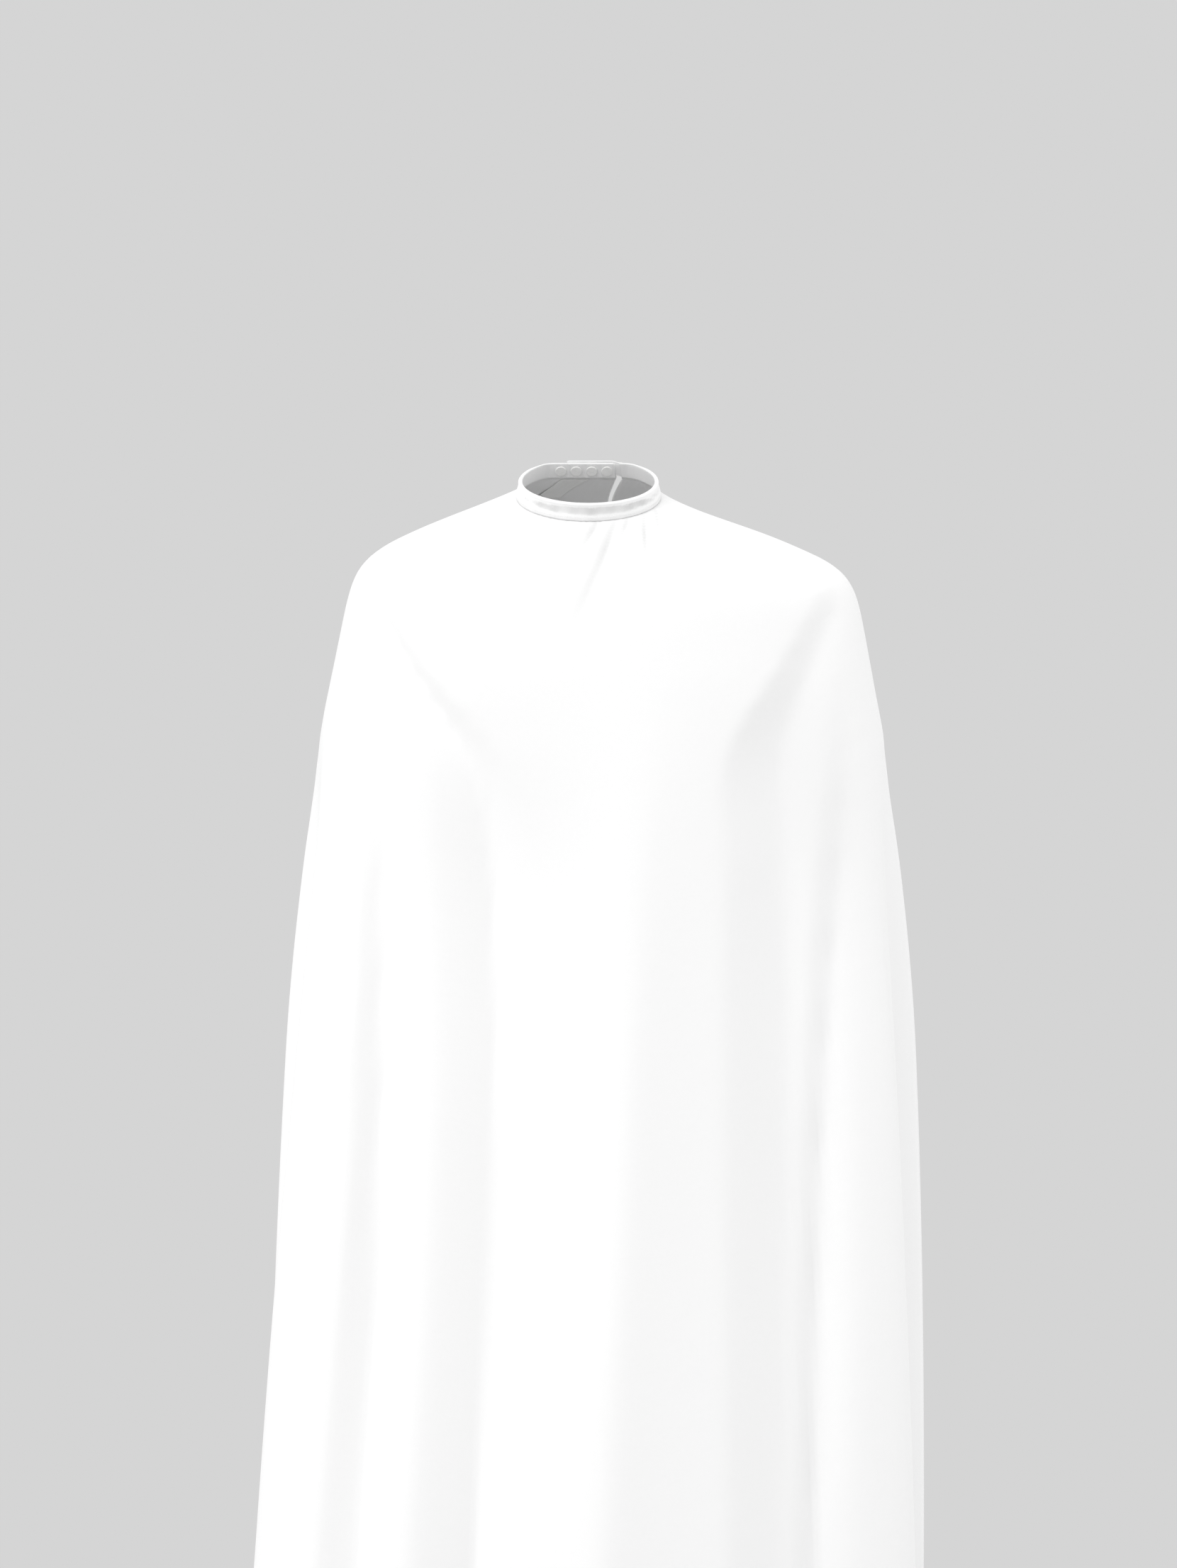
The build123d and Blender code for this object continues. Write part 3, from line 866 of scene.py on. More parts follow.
@dataclass
class CapePanel:
    """The cloth: draped, relaxed by simulation, and made a closed sheet with turned hems.

    Args:
        form: the worn shape.
        band: the band's shape.
        columns: points round the cloth in the simulation.
        rows: points from neckline to hem in the simulation.
        packing: how much closer the rows are near the neck.
        thickness: of the cloth.
        hem_depth: of the turned hems.
        hem_extra: thickness that a turned hem adds.
        settle_frames: length of the simulation.
    """

    form: WornForm
    band: BandShape
    columns: int = 146
    rows: int = 82
    packing: float = 1.35
    thickness: float = 0.45 * MM
    hem_depth: float = 14 * MM
    hem_extra: float = 0.9 * MM
    settle_frames: int = 30
    tail: tuple = (0.020, 0.0146, 0.0134, 0.011, 0.006, 0.0015, 0.0)
    fine_rows: int = 156
    grid: np.ndarray = field(default=None, repr=False)
    outer: np.ndarray = field(default=None, repr=False)
    inner: np.ndarray = field(default=None, repr=False)

    def drape(self) -> None:
        across = np.linspace(0, 1, self.columns)[None, :]
        down = np.linspace(0, 1, self.rows)[:, None] ** self.packing
        skirt = self.form.azimuths(across, self.band)[1]
        length = self.form.hem(skirt) * down
        folded, plain, out, past = self.form.points(across + 0 * length, length, self.band)
        settled = self.relax(folded, plain, out, past)
        # the front keeps its draped shape, and the neck edge stays on the band's seam
        share = 1 - 0.97 * smooth_step((np.cos(skirt) - 0.3) / 0.5)
        share = share * smooth_step((length - 0.02) / 0.12)
        folded = folded + share[..., None] * (settled - folded)
        self.grid = self.form.fold_front(folded, skirt + 0 * length, past)

    def relax(self, folded: np.ndarray, plain: np.ndarray, out: np.ndarray,
              past: np.ndarray) -> np.ndarray:
        """Lets the cloth settle under its weight over a form that is removed afterwards.

        Args:
            folded: the draped points.
            plain: the same without folds.
            out: outward directions.
            past: drop below the shoulder's turn.

        Returns:
            The settled points.
        """
        scene = bpy.context.scene
        bare = bpy.data.materials.new("settling")
        cloth = make_piece("settling_cloth", folded,
                           grid_quads(self.rows, self.columns).tolist(), bare)
        inward = 5 * MM + 0.055 * smooth_step((past - 0.12) / 0.35)
        bust = (plain - out * inward[..., None])[: int(0.62 * self.rows)]
        form = make_piece("settling_form", bust,
                          grid_quads(len(bust), self.columns, around=True).tolist(), bare)
        form.modifiers.new("collision", "COLLISION")
        form.collision.thickness_outer = 3 * MM
        form.collision.thickness_inner = 20 * MM
        form.collision.cloth_friction = 10
        held = cloth.vertex_groups.new(name="neckline")
        held.add(list(range(2 * self.columns)), 1.0, "REPLACE")
        modifier = cloth.modifiers.new("cloth", "CLOTH")
        settings = modifier.settings
        settings.quality = 6
        settings.mass = 0.05
        settings.air_damping = 2.0
        settings.tension_stiffness = settings.compression_stiffness = 20
        settings.shear_stiffness = 5
        settings.bending_model = "ANGULAR"
        settings.bending_stiffness = 0.3
        settings.vertex_group_mass = held.name
        modifier.collision_settings.use_self_collision = False
        modifier.collision_settings.distance_min = 3 * MM
        scene.frame_start, scene.frame_end = 1, self.settle_frames
        modifier.point_cache.frame_start = 1
        modifier.point_cache.frame_end = self.settle_frames
        for step in range(1, self.settle_frames + 1):
            scene.frame_set(step)
        settled = cloth.evaluated_get(bpy.context.evaluated_depsgraph_get())
        points = np.zeros(folded.size, np.float32)
        settled.data.vertices.foreach_get("co", points)
        for piece in (cloth, form):
            mesh = piece.data
            bpy.data.objects.remove(piece)
            bpy.data.meshes.remove(mesh)
        bpy.data.materials.remove(bare)
        scene.frame_set(1)
        return self.soften(points.reshape(folded.shape).astype(float), past)

    def soften(self, points: np.ndarray, past: np.ndarray) -> np.ndarray:
        """Takes out the simulation's grid-sized ripples, most of all above the folds.

        Args:
            points: the settled points.
            past: drop below the shoulder's turn.

        Returns:
            The points, averaged with their neighbours across a few times.
        """
        share = 0.5 * (1 - 0.7 * smooth_step((past - 0.05) / 0.25))[:, 1:-1, None]
        for _ in range(8):
            mean = (points[:, :-2] + points[:, 2:]) / 2
            points[:, 1:-1] += share * (mean - points[:, 1:-1])
        return points

    def row_of(self, length: np.ndarray, hem: np.ndarray) -> np.ndarray:
        """Fractional row of the finished sheet at a length from the neckline.

        Args:
            length: cloth from the neckline.
            hem: cloth from the neckline to the hem there.

        Returns:
            The row.
        """
        upper = (length / (hem - self.tail[0])) ** (1 / self.packing) * (self.fine_rows - 1)
        near = np.interp(length - hem, [-t for t in self.tail], range(len(self.tail)))
        return np.where(hem - length > self.tail[0], upper, self.fine_rows - 1 + near)

    def refine(self) -> np.ndarray:
        """Finer rows and columns, with rows along the hem's stitching and edge.

        Returns:
            The length of cloth from the neckline at each finished point.
        """
        edge = np.linspace(0, 0.03, 10)
        middle = np.linspace(0.03, 0.97, 271)[1:-1]
        across = np.concatenate([edge, middle, 1 - edge[::-1]])[None, :]
        self.across = across
        self.skirt = self.form.azimuths(across, self.band)[1]
        self.hem = self.form.hem(self.skirt)
        share = np.linspace(0, 1, self.fine_rows)[:, None] ** self.packing
        upper = share * (self.hem - self.tail[0])
        near = self.hem - np.array(self.tail[1:])[:, None]
        length = np.concatenate([upper, near])
        rows = (length / self.hem) ** (1 / self.packing) * (self.rows - 1)
        self.grid = sample(self.grid, rows, across * (self.columns - 1) + 0 * rows)
        return length

    def edge_distance(self, length: np.ndarray) -> np.ndarray:
        """Distance of each finished point from the nearest hem.

        Args:
            length: cloth from the neckline.

        Returns:
            The shorter of the way to the hem below, allowing for its slope, and the way to the
            opening's edge along the row.
        """
        step = np.linalg.norm(np.diff(self.grid, axis=1), axis=-1)
        walked = np.concatenate([np.zeros((len(step), 1)), np.cumsum(step, 1)], 1)
        self.walked = walked
        slope = np.gradient(self.hem, axis=1) / np.gradient(walked, axis=1)
        self.stretch = np.sqrt(1 + slope**2)
        below = (self.hem - length) / self.stretch
        beside = np.minimum(walked, walked[:, -1:] - walked)
        return np.minimum(below, beside)

    def gathers(self, length: np.ndarray) -> tuple:
        """Height of the small gathers and creases that start at the neckline.

        A row of uneven puckers fades away from the seam, and a few longer creases run on. A painted shadow
        runs along the seam under the band, and painted shade lies in the creases.

        Args:
            length: cloth from the neckline.

        Returns:
            How far each point is moved outwards, and its painted shade, 0 to 1.
        """
        neck = self.form.azimuths(self.across, self.band)[0]
        wave = np.sin(61 * neck + 1.7 * np.sin(7 * neck)) + 0.6 * np.sin(97 * neck + 2.1)
        uneven = 0.55 + 0.45 * np.sin(5 * neck + 0.8) * np.sin(13 * neck)
        start = 0.3 + 0.7 * smooth_step(length / 0.008)
        height = 0.45 * MM * wave * uneven * start * np.exp(-length / 0.014)
        x, below = self.grid[..., 0], -self.grid[..., 2]
        front = smooth_step(np.cos(self.skirt) * 4)
        # painted shadow: a dark line in the cloth along the seam, under the band's lower edge; painted
        # crease shade is added below
        indent_and_painted_shade = np.exp(-((length / (1.6 * MM)) ** 2)) + 0 * x
        for crease in NECK_CREASES:
            sunk, shade = crease.shape(x, below)
            height = height - front * sunk
            indent_and_painted_shade = np.maximum(indent_and_painted_shade, front * shade)
        return height, indent_and_painted_shade

    def build(self, finishes: Finishes) -> bpy.types.Object:
        """Makes the finished sheet.

        Args:
            finishes: the materials.

        Returns:
            The panel.
        """
        self.drape()
        length = self.refine()
        away = self.edge_distance(length)
        normals = grid_normals(self.grid)
        height, indent_and_painted_shade = self.gathers(length)
        self.grid = self.grid + normals * height[..., None]
        normals = grid_normals(self.grid)
        edge = 1.2 * MM + 5 * MM * (1 - 1 / self.stretch)
        hem = smooth_step((self.hem_depth - away) / edge + 0.5)
        rounded = np.sqrt(np.clip(away / (0.8 * MM), 0.05, 1))
        stitched = np.exp(-(((away - self.hem_depth + 1.6 * MM) / (1.5 * MM)) ** 2))
        outside = self.thickness / 2 * rounded + hem * 0.25 * MM - 0.2 * MM * stitched
        inside = (self.thickness / 2 + hem * self.hem_extra) * rounded
        self.outer = self.grid + normals * outside[..., None]
        self.inner = self.grid - normals * inside[..., None]
        self.normals = normals
        middle = self.walked[:, self.walked.shape[1] // 2][:, None]
        place = np.stack([self.walked - middle, length], -1)
        points = np.concatenate([self.outer.reshape(-1, 3), self.inner.reshape(-1, 3)])
        piece = make_piece("cape_cloth", points, shell_faces(*self.grid.shape[:2]),
                           finishes.slots["cape_cloth"], np.concatenate([place, place]))
        # painted shade, on the outer and inner sheet alike
        mark_painted_shade(piece, np.tile(indent_and_painted_shade.ravel(), 2))
        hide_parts("cape_panel")
        finishes.dress(piece, Body.CAPE)
        return piece


# ---------------------------------------------------------------- stitching
def stitches(path: np.ndarray, outward: np.ndarray, pitch: float, length: float,
             radius: float) -> tuple:
    """A run of separate stitches along a path, each a short thread that dips into the cloth.

    Each stitch has a middle ring that stands proud and a smaller sunk ring at each end.

    Args:
        path: points along the run.
        outward: the cloth's outward direction at each point.
        pitch: from one stitch to the next.
        length: of each stitch.
        radius: of the thread.

    Returns:
        The points and the faces of all the stitches.
    """
    walked = np.concatenate([[0], np.cumsum(np.linalg.norm(np.diff(path, axis=0), axis=1))])
    places = np.arange(0.5 * pitch, walked[-1] - 0.5 * length, pitch)
    at, ahead, behind, normal = (
        np.stack([np.interp(places + step, walked, line[:, i]) for i in range(3)], -1)
        for line, step in ((path, 0), (path, 0.4 * length), (path, -0.4 * length), (outward, 0)))
    return threads(at, unit(ahead - behind), unit(normal), length, radius)


def threads(centres: np.ndarray, along: np.ndarray, normal: np.ndarray, length: float,
            radius: float) -> tuple:
    """Separate stitches at given places.

    Args:
        centres: the middle of each stitch, on the cloth.
        along: its direction.
        normal: the cloth's outward direction there.
        length: of each stitch.
        radius: of the thread.

    Returns:
        The points and the faces.
    """
    beside = unit(np.cross(normal, along))
    turn = np.linspace(0, 2 * math.pi, 6, endpoint=False)
    rings = []
    for step, lift, size in ((-0.5, -0.5, 0.55), (0.0, 0.55, 1.0), (0.5, -0.5, 0.55)):
        middle = centres + along * (step * length) + normal * (lift * radius)
        spoke = (np.cos(turn)[:, None, None] * normal + np.sin(turn)[:, None, None] * beside)
        rings.append(middle + spoke * (size * radius))
    points = np.stack(rings).transpose(2, 0, 1, 3).reshape(-1, 3)
    quads = np.array(grid_quads(3, 6, around=True))
    first = np.arange(len(centres))[:, None, None] * 18
    ends = np.stack([np.arange(6), np.arange(12, 18)[::-1]])
    return points, (quads + first).reshape(-1, 4).tolist() + (ends + first).reshape(-1, 6).tolist()


@dataclass(frozen=True)
class Stitching:
    """Thread for a run of stitches.

    Args:
        pitch: from one stitch to the next.
        length: of a stitch.
        radius: of the thread.
    """

    pitch: float = 3.2 * MM
    length: float = 2.6 * MM
    radius: float = 0.24 * MM

    def sew(self, name: str, node: str, path: np.ndarray, outward: np.ndarray,
            finishes: Finishes, body: Body = Body.CAPE) -> bpy.types.Object:
        """Makes one run.

        Args:
            name: the piece's name.
            node: the CAD thread that it stands for.
            path: points along the run, on the cloth's surface.
            outward: outward directions there.
            finishes: the materials.
            body: what it rides on.

        Returns:
            The stitches, as one piece.
        """
        points, faces = stitches(path, outward, self.pitch, self.length, self.radius)
        piece = make_piece(name, points, faces, finishes.slots["thread"])
        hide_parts(node)
        finishes.dress(piece, body)
        return piece


@dataclass
class HemStitching:
    """Stitching along every turned hem of the cloth.

    Args:
        panel: the finished cloth.
        thread: the stitches.
        inset: from the cloth's edge to the stitches.
    """

    panel: CapePanel
    thread: Stitching = Stitching()
    inset: float = 12.4 * MM

    def along_hem(self, low: float, high: float) -> tuple:
        """Path along the lower hem between two skirt azimuths, in degrees."""
        turn = np.degrees(self.panel.skirt[0])
        columns = np.nonzero((turn >= low) & (turn <= high))[0]
        margin = self.inset * self.panel.stretch[-1, columns]
        hem = self.panel.hem[0, columns]
        rows = self.panel.row_of(hem - margin, hem)
        return (sample(self.panel.outer, rows, columns.astype(float)),
                sample(self.panel.normals, rows, columns.astype(float)))

    def along_opening(self, side: Side) -> tuple:
        """Path down one edge of the back opening."""
        walked = self.panel.walked
        if side is Side.LEFT_HAND:
            walked = walked[:, -1:] - walked[:, ::-1]
        index = (walked <= self.inset).sum(1) - 1
        rows = np.arange(len(walked))
        span = walked[rows, index + 1] - walked[rows, index]
        columns = index + (self.inset - walked[rows, index]) / span
        if side is Side.LEFT_HAND:
            columns = walked.shape[1] - 1 - columns
        kept = slice(10, -5)
        path = [sample(grid, rows[kept].astype(float), columns[kept])
                for grid in (self.panel.outer, self.panel.normals)]
        return tuple(path)

    def build(self, finishes: Finishes) -> list:
        """Makes every run.

        Args:
            finishes: the materials.

        Returns:
            The pieces.
        """
        ends = np.degrees(self.panel.skirt[0, [0, -1]])
        runs = {
            "front_hem": self.along_hem(-84, 84),
            "left_side_hem": self.along_hem(-140, -85),
            "right_side_hem": self.along_hem(85, 140),
            "left_back_hem": self.along_hem(ends[0] + 4, -141),
            "right_back_hem": self.along_hem(141, ends[1] - 4),
            "left_opening": self.along_opening(Side.RIGHT_HAND),
            "right_opening": self.along_opening(Side.LEFT_HAND),
        }
        return [self.thread.sew(f"{name}_stitches", f"{name}_thread", *run, finishes)
                for name, run in runs.items()]


# ---------------------------------------------------------------- neck band
@dataclass
class NeckBand:
    """The neck band: a folded strip over elastic, with a rolled top, wrinkles and a zigzag row.

    Args:
        shape: its plan and section.
        columns: points along it.
        wall_points: points up its outer wall.
        puff: how far the cloth stands off the middle of the wall.
        least: the least that it may stand off, which clears the elastic.
        zigzag_level: height of the zigzag row above the lower edge.
        zigzag_width: of the row.
        zigzag_pitch: of the row.
    """

    shape: BandShape
    columns: int = 460
    wall_points: int = 30
    puff: float = 2.2 * MM
    least: float = 0.85 * MM
    zigzag_level: float = 3.6 * MM
    zigzag_width: float = 2.6 * MM
    zigzag_pitch: float = 2.4 * MM

    def outer_offset(self, azimuth: np.ndarray, height: np.ndarray) -> np.ndarray:
        """How far the outer wall stands off the middle, with its roll, wrinkles and sunk zigzag row.

        Bell-shaped terms are added: the roll below the top fold, the hollow under it in front,
        slanted wrinkles in that hollow, a fuller stretch above the zigzag row and the row itself.

        Args:
            azimuth: direction from the axis.
            height: above the lower edge, along the slant.

        Returns:
            The offset.
        """
        tall = self.shape.height
        top = tall - height
        turn = np.degrees(azimuth)
        worn = 1 - smooth_step((np.abs(turn) - 118) / 18)
        front = np.exp(-((turn - 6) / 66) ** 2)
        roll = 0.70 * MM * np.exp(-((top - 1.7 * MM) / (1.2 * MM)) ** 2)
        hollow = 2.00 * MM * front * np.exp(-((top - 7.0 * MM) / (4.2 * MM)) ** 2)
        fuller = 0.10 * MM * np.exp(-((height - 7.2 * MM) / (1.9 * MM)) ** 2)
        slant = turn + 2.6 * height / MM
        crease = (0.30 * np.sin(slant * 0.21 + 0.8) + 0.22 * np.sin(slant * 0.47 + 2.0)
                  + 0.14 * np.sin(turn * 1.1 - 1.3 * height / MM)) * MM
        crease = crease * (0.25 + 0.75 * front) * np.exp(-((top - 6.5 * MM) / (4.2 * MM)) ** 2)
        sharp = sum(depth * MM * np.exp(-((turn - at - lean * (top / MM - 4.5)) / wide) ** 2
                                        - ((top - 4.6 * MM) / (1.7 * MM)) ** 2)
                    for at, lean, wide, depth in ((-6, -2.0, 5, 0.35), (-27, 3.5, 6, 0.30),
                                                  (20, -3.0, 7, 0.30), (44, -3.0, 8, 0.25)))
        small = 0.07 * MM * np.sin(turn * 2.3 + 2 * np.sin(turn * 0.13)) * (height / tall)
        # the zigzag row sinks the wall here; this is shape only
        indent_and_painted_shade = 0.32 * MM * np.exp(-((height - self.zigzag_level) / (1.5 * MM)) ** 4)
        low = 0.25 * MM * np.exp(-(height / (1.0 * MM)) ** 2)
        loose = roll - hollow + fuller + crease - sharp + small
        flat = 1.15 * MM
        sewn = smooth_step((height + 0.5 * MM) / (5.0 * MM))
        offset = flat + worn * (sewn * (self.puff - flat) + loose) - indent_and_painted_shade * worn - low
        return self.least + soft_past(offset - self.least, 0.15 * MM)

    def outside(self, azimuth: np.ndarray, height: np.ndarray) -> np.ndarray:
        """Points of the outer wall's surface."""
        rise = height * math.cos(self.shape.flare) - self.shape.rise / 2
        return self.shape.point(azimuth, rise, self.outer_offset(azimuth, height))

    def section(self, azimuth: np.ndarray) -> np.ndarray:
        """Closed section at each azimuth: up the outer wall, over the fold and down the inner.

        Args:
            azimuth: direction from the axis, one for each section.

        Returns:
            Sections by points by 3.
        """
        shape, turn = self.shape, azimuth[:, None]
        top = shape.height - 1.5 * MM
        wall = np.linspace(0.0, top, self.wall_points)
        over = np.linspace(0, math.pi, 9)[1:-1]
        down = np.linspace(top, 0.0, 10)
        height = np.concatenate([wall, top + 1.5 * MM * np.sin(over), down])
        share = np.concatenate([0 * wall + 1, np.cos(over), 0 * down - 1])
        outer = self.outer_offset(turn, np.minimum(height, top))
        inner = -1.1 * MM + 0.08 * MM * np.sin(np.degrees(turn) * 1.7) + 0 * height
        middle, half = (outer + inner) / 2, (outer - inner) / 2
        rise = height * math.cos(shape.flare) - shape.rise / 2
        return shape.point(turn, rise + 0 * turn, middle + half * share)

    def hollow_shade(self, azimuth: np.ndarray, ring_points: int) -> np.ndarray:
        """Painted shade in the band's front where its wall sinks into the hollow, streaked unevenly round
        it.

        Args:
            azimuth: direction from the axis, one for each section.
            ring_points: points in a section, of which the outer wall's come first.

        Returns:
            0 to 1 for each point of each section.
        """
        height = np.linspace(0, self.shape.height, self.wall_points)[None, :]
        turn = azimuth[:, None]
        shade = np.zeros((len(azimuth), ring_points))
        offset = self.outer_offset(turn, height)
        shade[:, :self.wall_points] = smooth_step((1.9 * MM - offset) / (1.0 * MM))
        front = 1 - smooth_step((np.abs(np.degrees(turn)) - 70) / 30)
        streak = np.sin(9 * turn + 1.2) + np.sin(23 * turn + 0.4)
        return shade * front * (0.80 + 0.10 * streak)

    def build(self, finishes: Finishes) -> tuple:
        """Makes the band and its zigzag row.

        Args:
            finishes: the materials.

        Returns:
            The band and the stitches.
        """
        azimuth = np.linspace(self.shape.first, self.shape.last, self.columns)
        rings = self.section(azimuth)
        along = np.cumsum(np.linalg.norm(np.diff(rings[:, 0], axis=0), axis=1))
        around = np.cumsum(np.linalg.norm(np.diff(rings[self.columns // 2], axis=0), axis=1))
        uv = np.stack(np.meshgrid(np.append(0, along), np.append(0, around), indexing="ij"), -1)
        band = make_piece("neck_band", rings, tube_faces(*rings.shape[:2]),
                          finishes.slots["band_cloth"], uv)
        # painted shade in the band's hollow
        mark_painted_shade(band, self.hollow_shade(azimuth, rings.shape[1]).ravel())
        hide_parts("neck_band_cover")
        finishes.dress(band, Body.CAPE)
        return band, self.zigzag(finishes)

    def zigzag(self, finishes: Finishes) -> bpy.types.Object:
        """Makes the row of slanted stitches, each from one side of the row to the other.

        Args:
            finishes: the materials.

        Returns:
            The stitches.
        """
        reach = math.radians(146)
        count = int(2 * reach * self.shape.radius / (self.zigzag_pitch / 2))
        stop = np.linspace(-reach, reach, count)
        level = self.zigzag_level + self.zigzag_width / 2 * np.where(np.arange(count) % 2, 1, -1)
        corners = self.outside(stop, level)
        middle = self.outside((stop[1:] + stop[:-1]) / 2, (level[1:] + level[:-1]) / 2)
        axis = np.array((0, -math.sin(self.shape.tilt), math.cos(self.shape.tilt)))
        around = self.outside(stop[1:], 0 * level[1:]) - self.outside(stop[:-1], 0 * level[1:])
        normal = unit(np.cross(around, axis))
        step = corners[1:] - corners[:-1]
        points, faces = threads(middle, unit(step), normal, float(np.linalg.norm(step, axis=1).mean()),
                                0.2 * MM)
        piece = make_piece("band_zigzag_stitches", points, faces, finishes.slots["thread"])
        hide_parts("band_zigzag_thread")
        finishes.dress(piece, Body.CAPE)
        return piece


# ---------------------------------------------------------------- closure
@dataclass
class Closure:
    """The snap tab that continues the band across the nape, and the stitching at the closure.

    Args:
        shape: the band's shape.
        tab_end: X of the tab's free end.
        height: of the tab.
        half: half of its thickness.
        away: from the band's middle to the tab's middle, where the snaps hold it.
        columns: points along the tab.
    """

    shape: BandShape
    tab_end: float = -21 * MM
    height: float = 15.5 * MM
    half: float = 0.85 * MM
    away: float = 5.7 * MM
    columns: int = 96

    def surface(self, x: np.ndarray, up: np.ndarray, off: np.ndarray) -> np.ndarray:
        """Points of the tab, given along it, up it and off its middle.

        Past the corner the tab leaves the band's face and steps out to the height of the snaps.

        Args:
            x: along the tab, by X on the nape's flat stretch.
            up: up the slant from the tab's middle.
            off: outwards from the tab's middle.

        Returns:
            The points.
        """
        azimuth = math.pi - np.arctan2(x, self.shape.nape)
        near = 1.2 * MM + self.half + (x > 44 * MM) * 0
        step = smooth_step((33 * MM - x) / (11 * MM))
        sunk = 0.9 * MM * smooth_step((x - 44 * MM) / (7 * MM))
        out = near + (self.away - near) * step - sunk
        rise = up * math.cos(self.shape.flare)
        on_band = self.shape.point(azimuth, rise, out + off)
        on_nape = self.shape.nape_point(x, out + off, up)
        share = smooth_step((36 * MM - x) / (12 * MM))[..., None]
        return on_band + share * (on_nape - on_band)

    def tab(self, finishes: Finishes) -> bpy.types.Object:
        """Makes the tab as a closed flat sleeve with soft edges and a rounded free end.

        Args:
            finishes: the materials.

        Returns:
            The tab.
        """
        along = np.linspace(0, 1, self.columns)
        x = (51 * MM + (self.tab_end - 51 * MM) * (1 - (1 - along) ** 1.25))[:, None]
        turn = np.linspace(0, 2 * math.pi, 40, endpoint=False)[None, :]
        tip = np.sqrt(1 - np.clip((self.tab_end + 3 * MM - x) / (3 * MM), 0, 0.98) ** 2)
        rows = self.height / 2 * (0.85 + 0.15 * tip)
        side = np.sign(np.cos(turn)) * np.abs(np.cos(turn)) ** 0.35
        puff = np.sign(np.sin(turn)) * np.abs(np.sin(turn)) ** 0.7
        up = rows * side
        edge = np.minimum(rows - np.abs(up), x - self.tab_end)
        seam = 0.28 * MM * np.exp(-((edge - 1.4 * MM) / (0.5 * MM)) ** 2)
        off = (self.half * (0.25 + 0.75 * tip) - seam) * puff
        rings = self.surface(x + 0 * up, up, off)
        walked = np.append(0, np.cumsum(np.linalg.norm(np.diff(rings[:, 0], axis=0), axis=1)))
        uv = np.stack([walked[:, None] + 0 * up, up + off], -1)
        piece = make_piece("closure_tab", rings, tube_faces(*rings.shape[:2]),
                           finishes.slots["band_cloth"], uv)
        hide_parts("tab_cover")
        root, held = (self.surface(np.array(at * MM), np.array(0.0), np.array(0.0)) for at in (36, 28))
        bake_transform(piece)
        return piece

    def frame(self, low: float, high: float, tall: float, face: object) -> tuple:
        """Path round a rectangle on a surface, and the outward direction along it.

        Args:
            low: lower X.
            high: higher X.
            tall: half of its height.
            face: the surface, from X and height to points.

        Returns:
            The path and the directions.
        """
        corners = np.array(((high, tall), (low, tall), (low, -tall), (high, -tall), (high, tall)))
        place = np.linspace(0, 4, 161)
        x, up = (np.interp(place, range(5), corners[:, i]) for i in range(2))
        path = face(x, up)
        ahead, above = face(x + 0.2 * MM, up) - path, face(x, up + 0.2 * MM) - path
        return path, unit(np.cross(above, ahead))

    def build(self, finishes: Finishes) -> list:
        """Makes the tab and the stitching on it and on the underlap.

        Args:
            finishes: the materials.

        Returns:
            The tab, then the two runs of stitches.
        """
        thread = Stitching(2.4 * MM, 1.9 * MM, 0.2 * MM)
        tab = self.tab(finishes)
        tall = self.height / 2 - 1.3 * MM
        on_tab = self.frame(self.tab_end + 1.4 * MM, 25 * MM, tall,
                            lambda x, up: self.surface(x, up, 0 * x + self.half - 0.12 * MM))
        on_band = self.frame(-33 * MM, 25 * MM, tall,
                             lambda x, up: self.shape.nape_point(x, 0 * x + 1.15 * MM, up))
        return [tab, thread.sew("closure_tab_stitches", "tab_seam_thread", *on_tab, finishes, Body.TAB),
                thread.sew("underlap_stitches", "underlap_seam_thread", *on_band, finishes)]


@dataclass
class CareLabel:
    """A blank label sewn into the neckline behind, lying against the inside of the cloth.

    Args:
        panel: the finished cloth.
        azimuth: where it hangs, in degrees.
        width: of the label.
        drop: its length below the neckline.
        thickness: of the label.
        gap: between it and the cloth.
        curl: how far its free end stands off.
    """

    panel: CapePanel
    azimuth: float = -168.0
    width: float = 28 * MM
    drop: float = 48 * MM
    thickness: float = 0.3 * MM
    gap: float = 0.35 * MM
    curl: float = 2.5 * MM

    def build(self, finishes: Finishes) -> bpy.types.Object:
        """Makes the label.

        Args:
            finishes: the materials.

        Returns:
            The label.
        """
        panel = self.panel
        length = np.linspace(1.5 * MM, self.drop, 26)[:, None]
        across = np.linspace(-0.5, 0.5, 18)[None, :] * self.width
        turn = np.degrees(panel.form.azimuths(panel.across, panel.band)[0][0])
        columns = np.arange(turn.size)
        middle = np.interp(self.azimuth, turn, columns)
        rows = panel.row_of(length, float(np.interp(middle, columns, panel.hem[0])))
        walked = sample(panel.walked[..., None] * (1, 0, 0), rows, 0 * rows + middle)[..., 0]
        whole = np.clip(np.round(rows[:, 0]).astype(int), 0, len(panel.walked) - 1)
        place = np.stack([np.interp(walked[i] + across[0], panel.walked[row], columns)
                          for i, row in enumerate(whole)])
        rows = rows + 0 * place
        surface, normal = (sample(grid, rows, place) for grid in (panel.inner, panel.normals))
        lift = self.gap + self.curl * ((length / self.drop) ** 3 + 0 * across)
        outer = surface - normal * lift[..., None]
        points = np.stack([outer, outer - normal * self.thickness])
        uv = np.stack([across + 0 * length, length + 0 * across], -1)
        piece = make_piece("care_label_blank", points, shell_faces(26, 18), finishes.slots["label"],
                           np.stack([uv, uv]))
        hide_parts("care_label")
        finishes.dress(piece, Body.CAPE)
        return piece


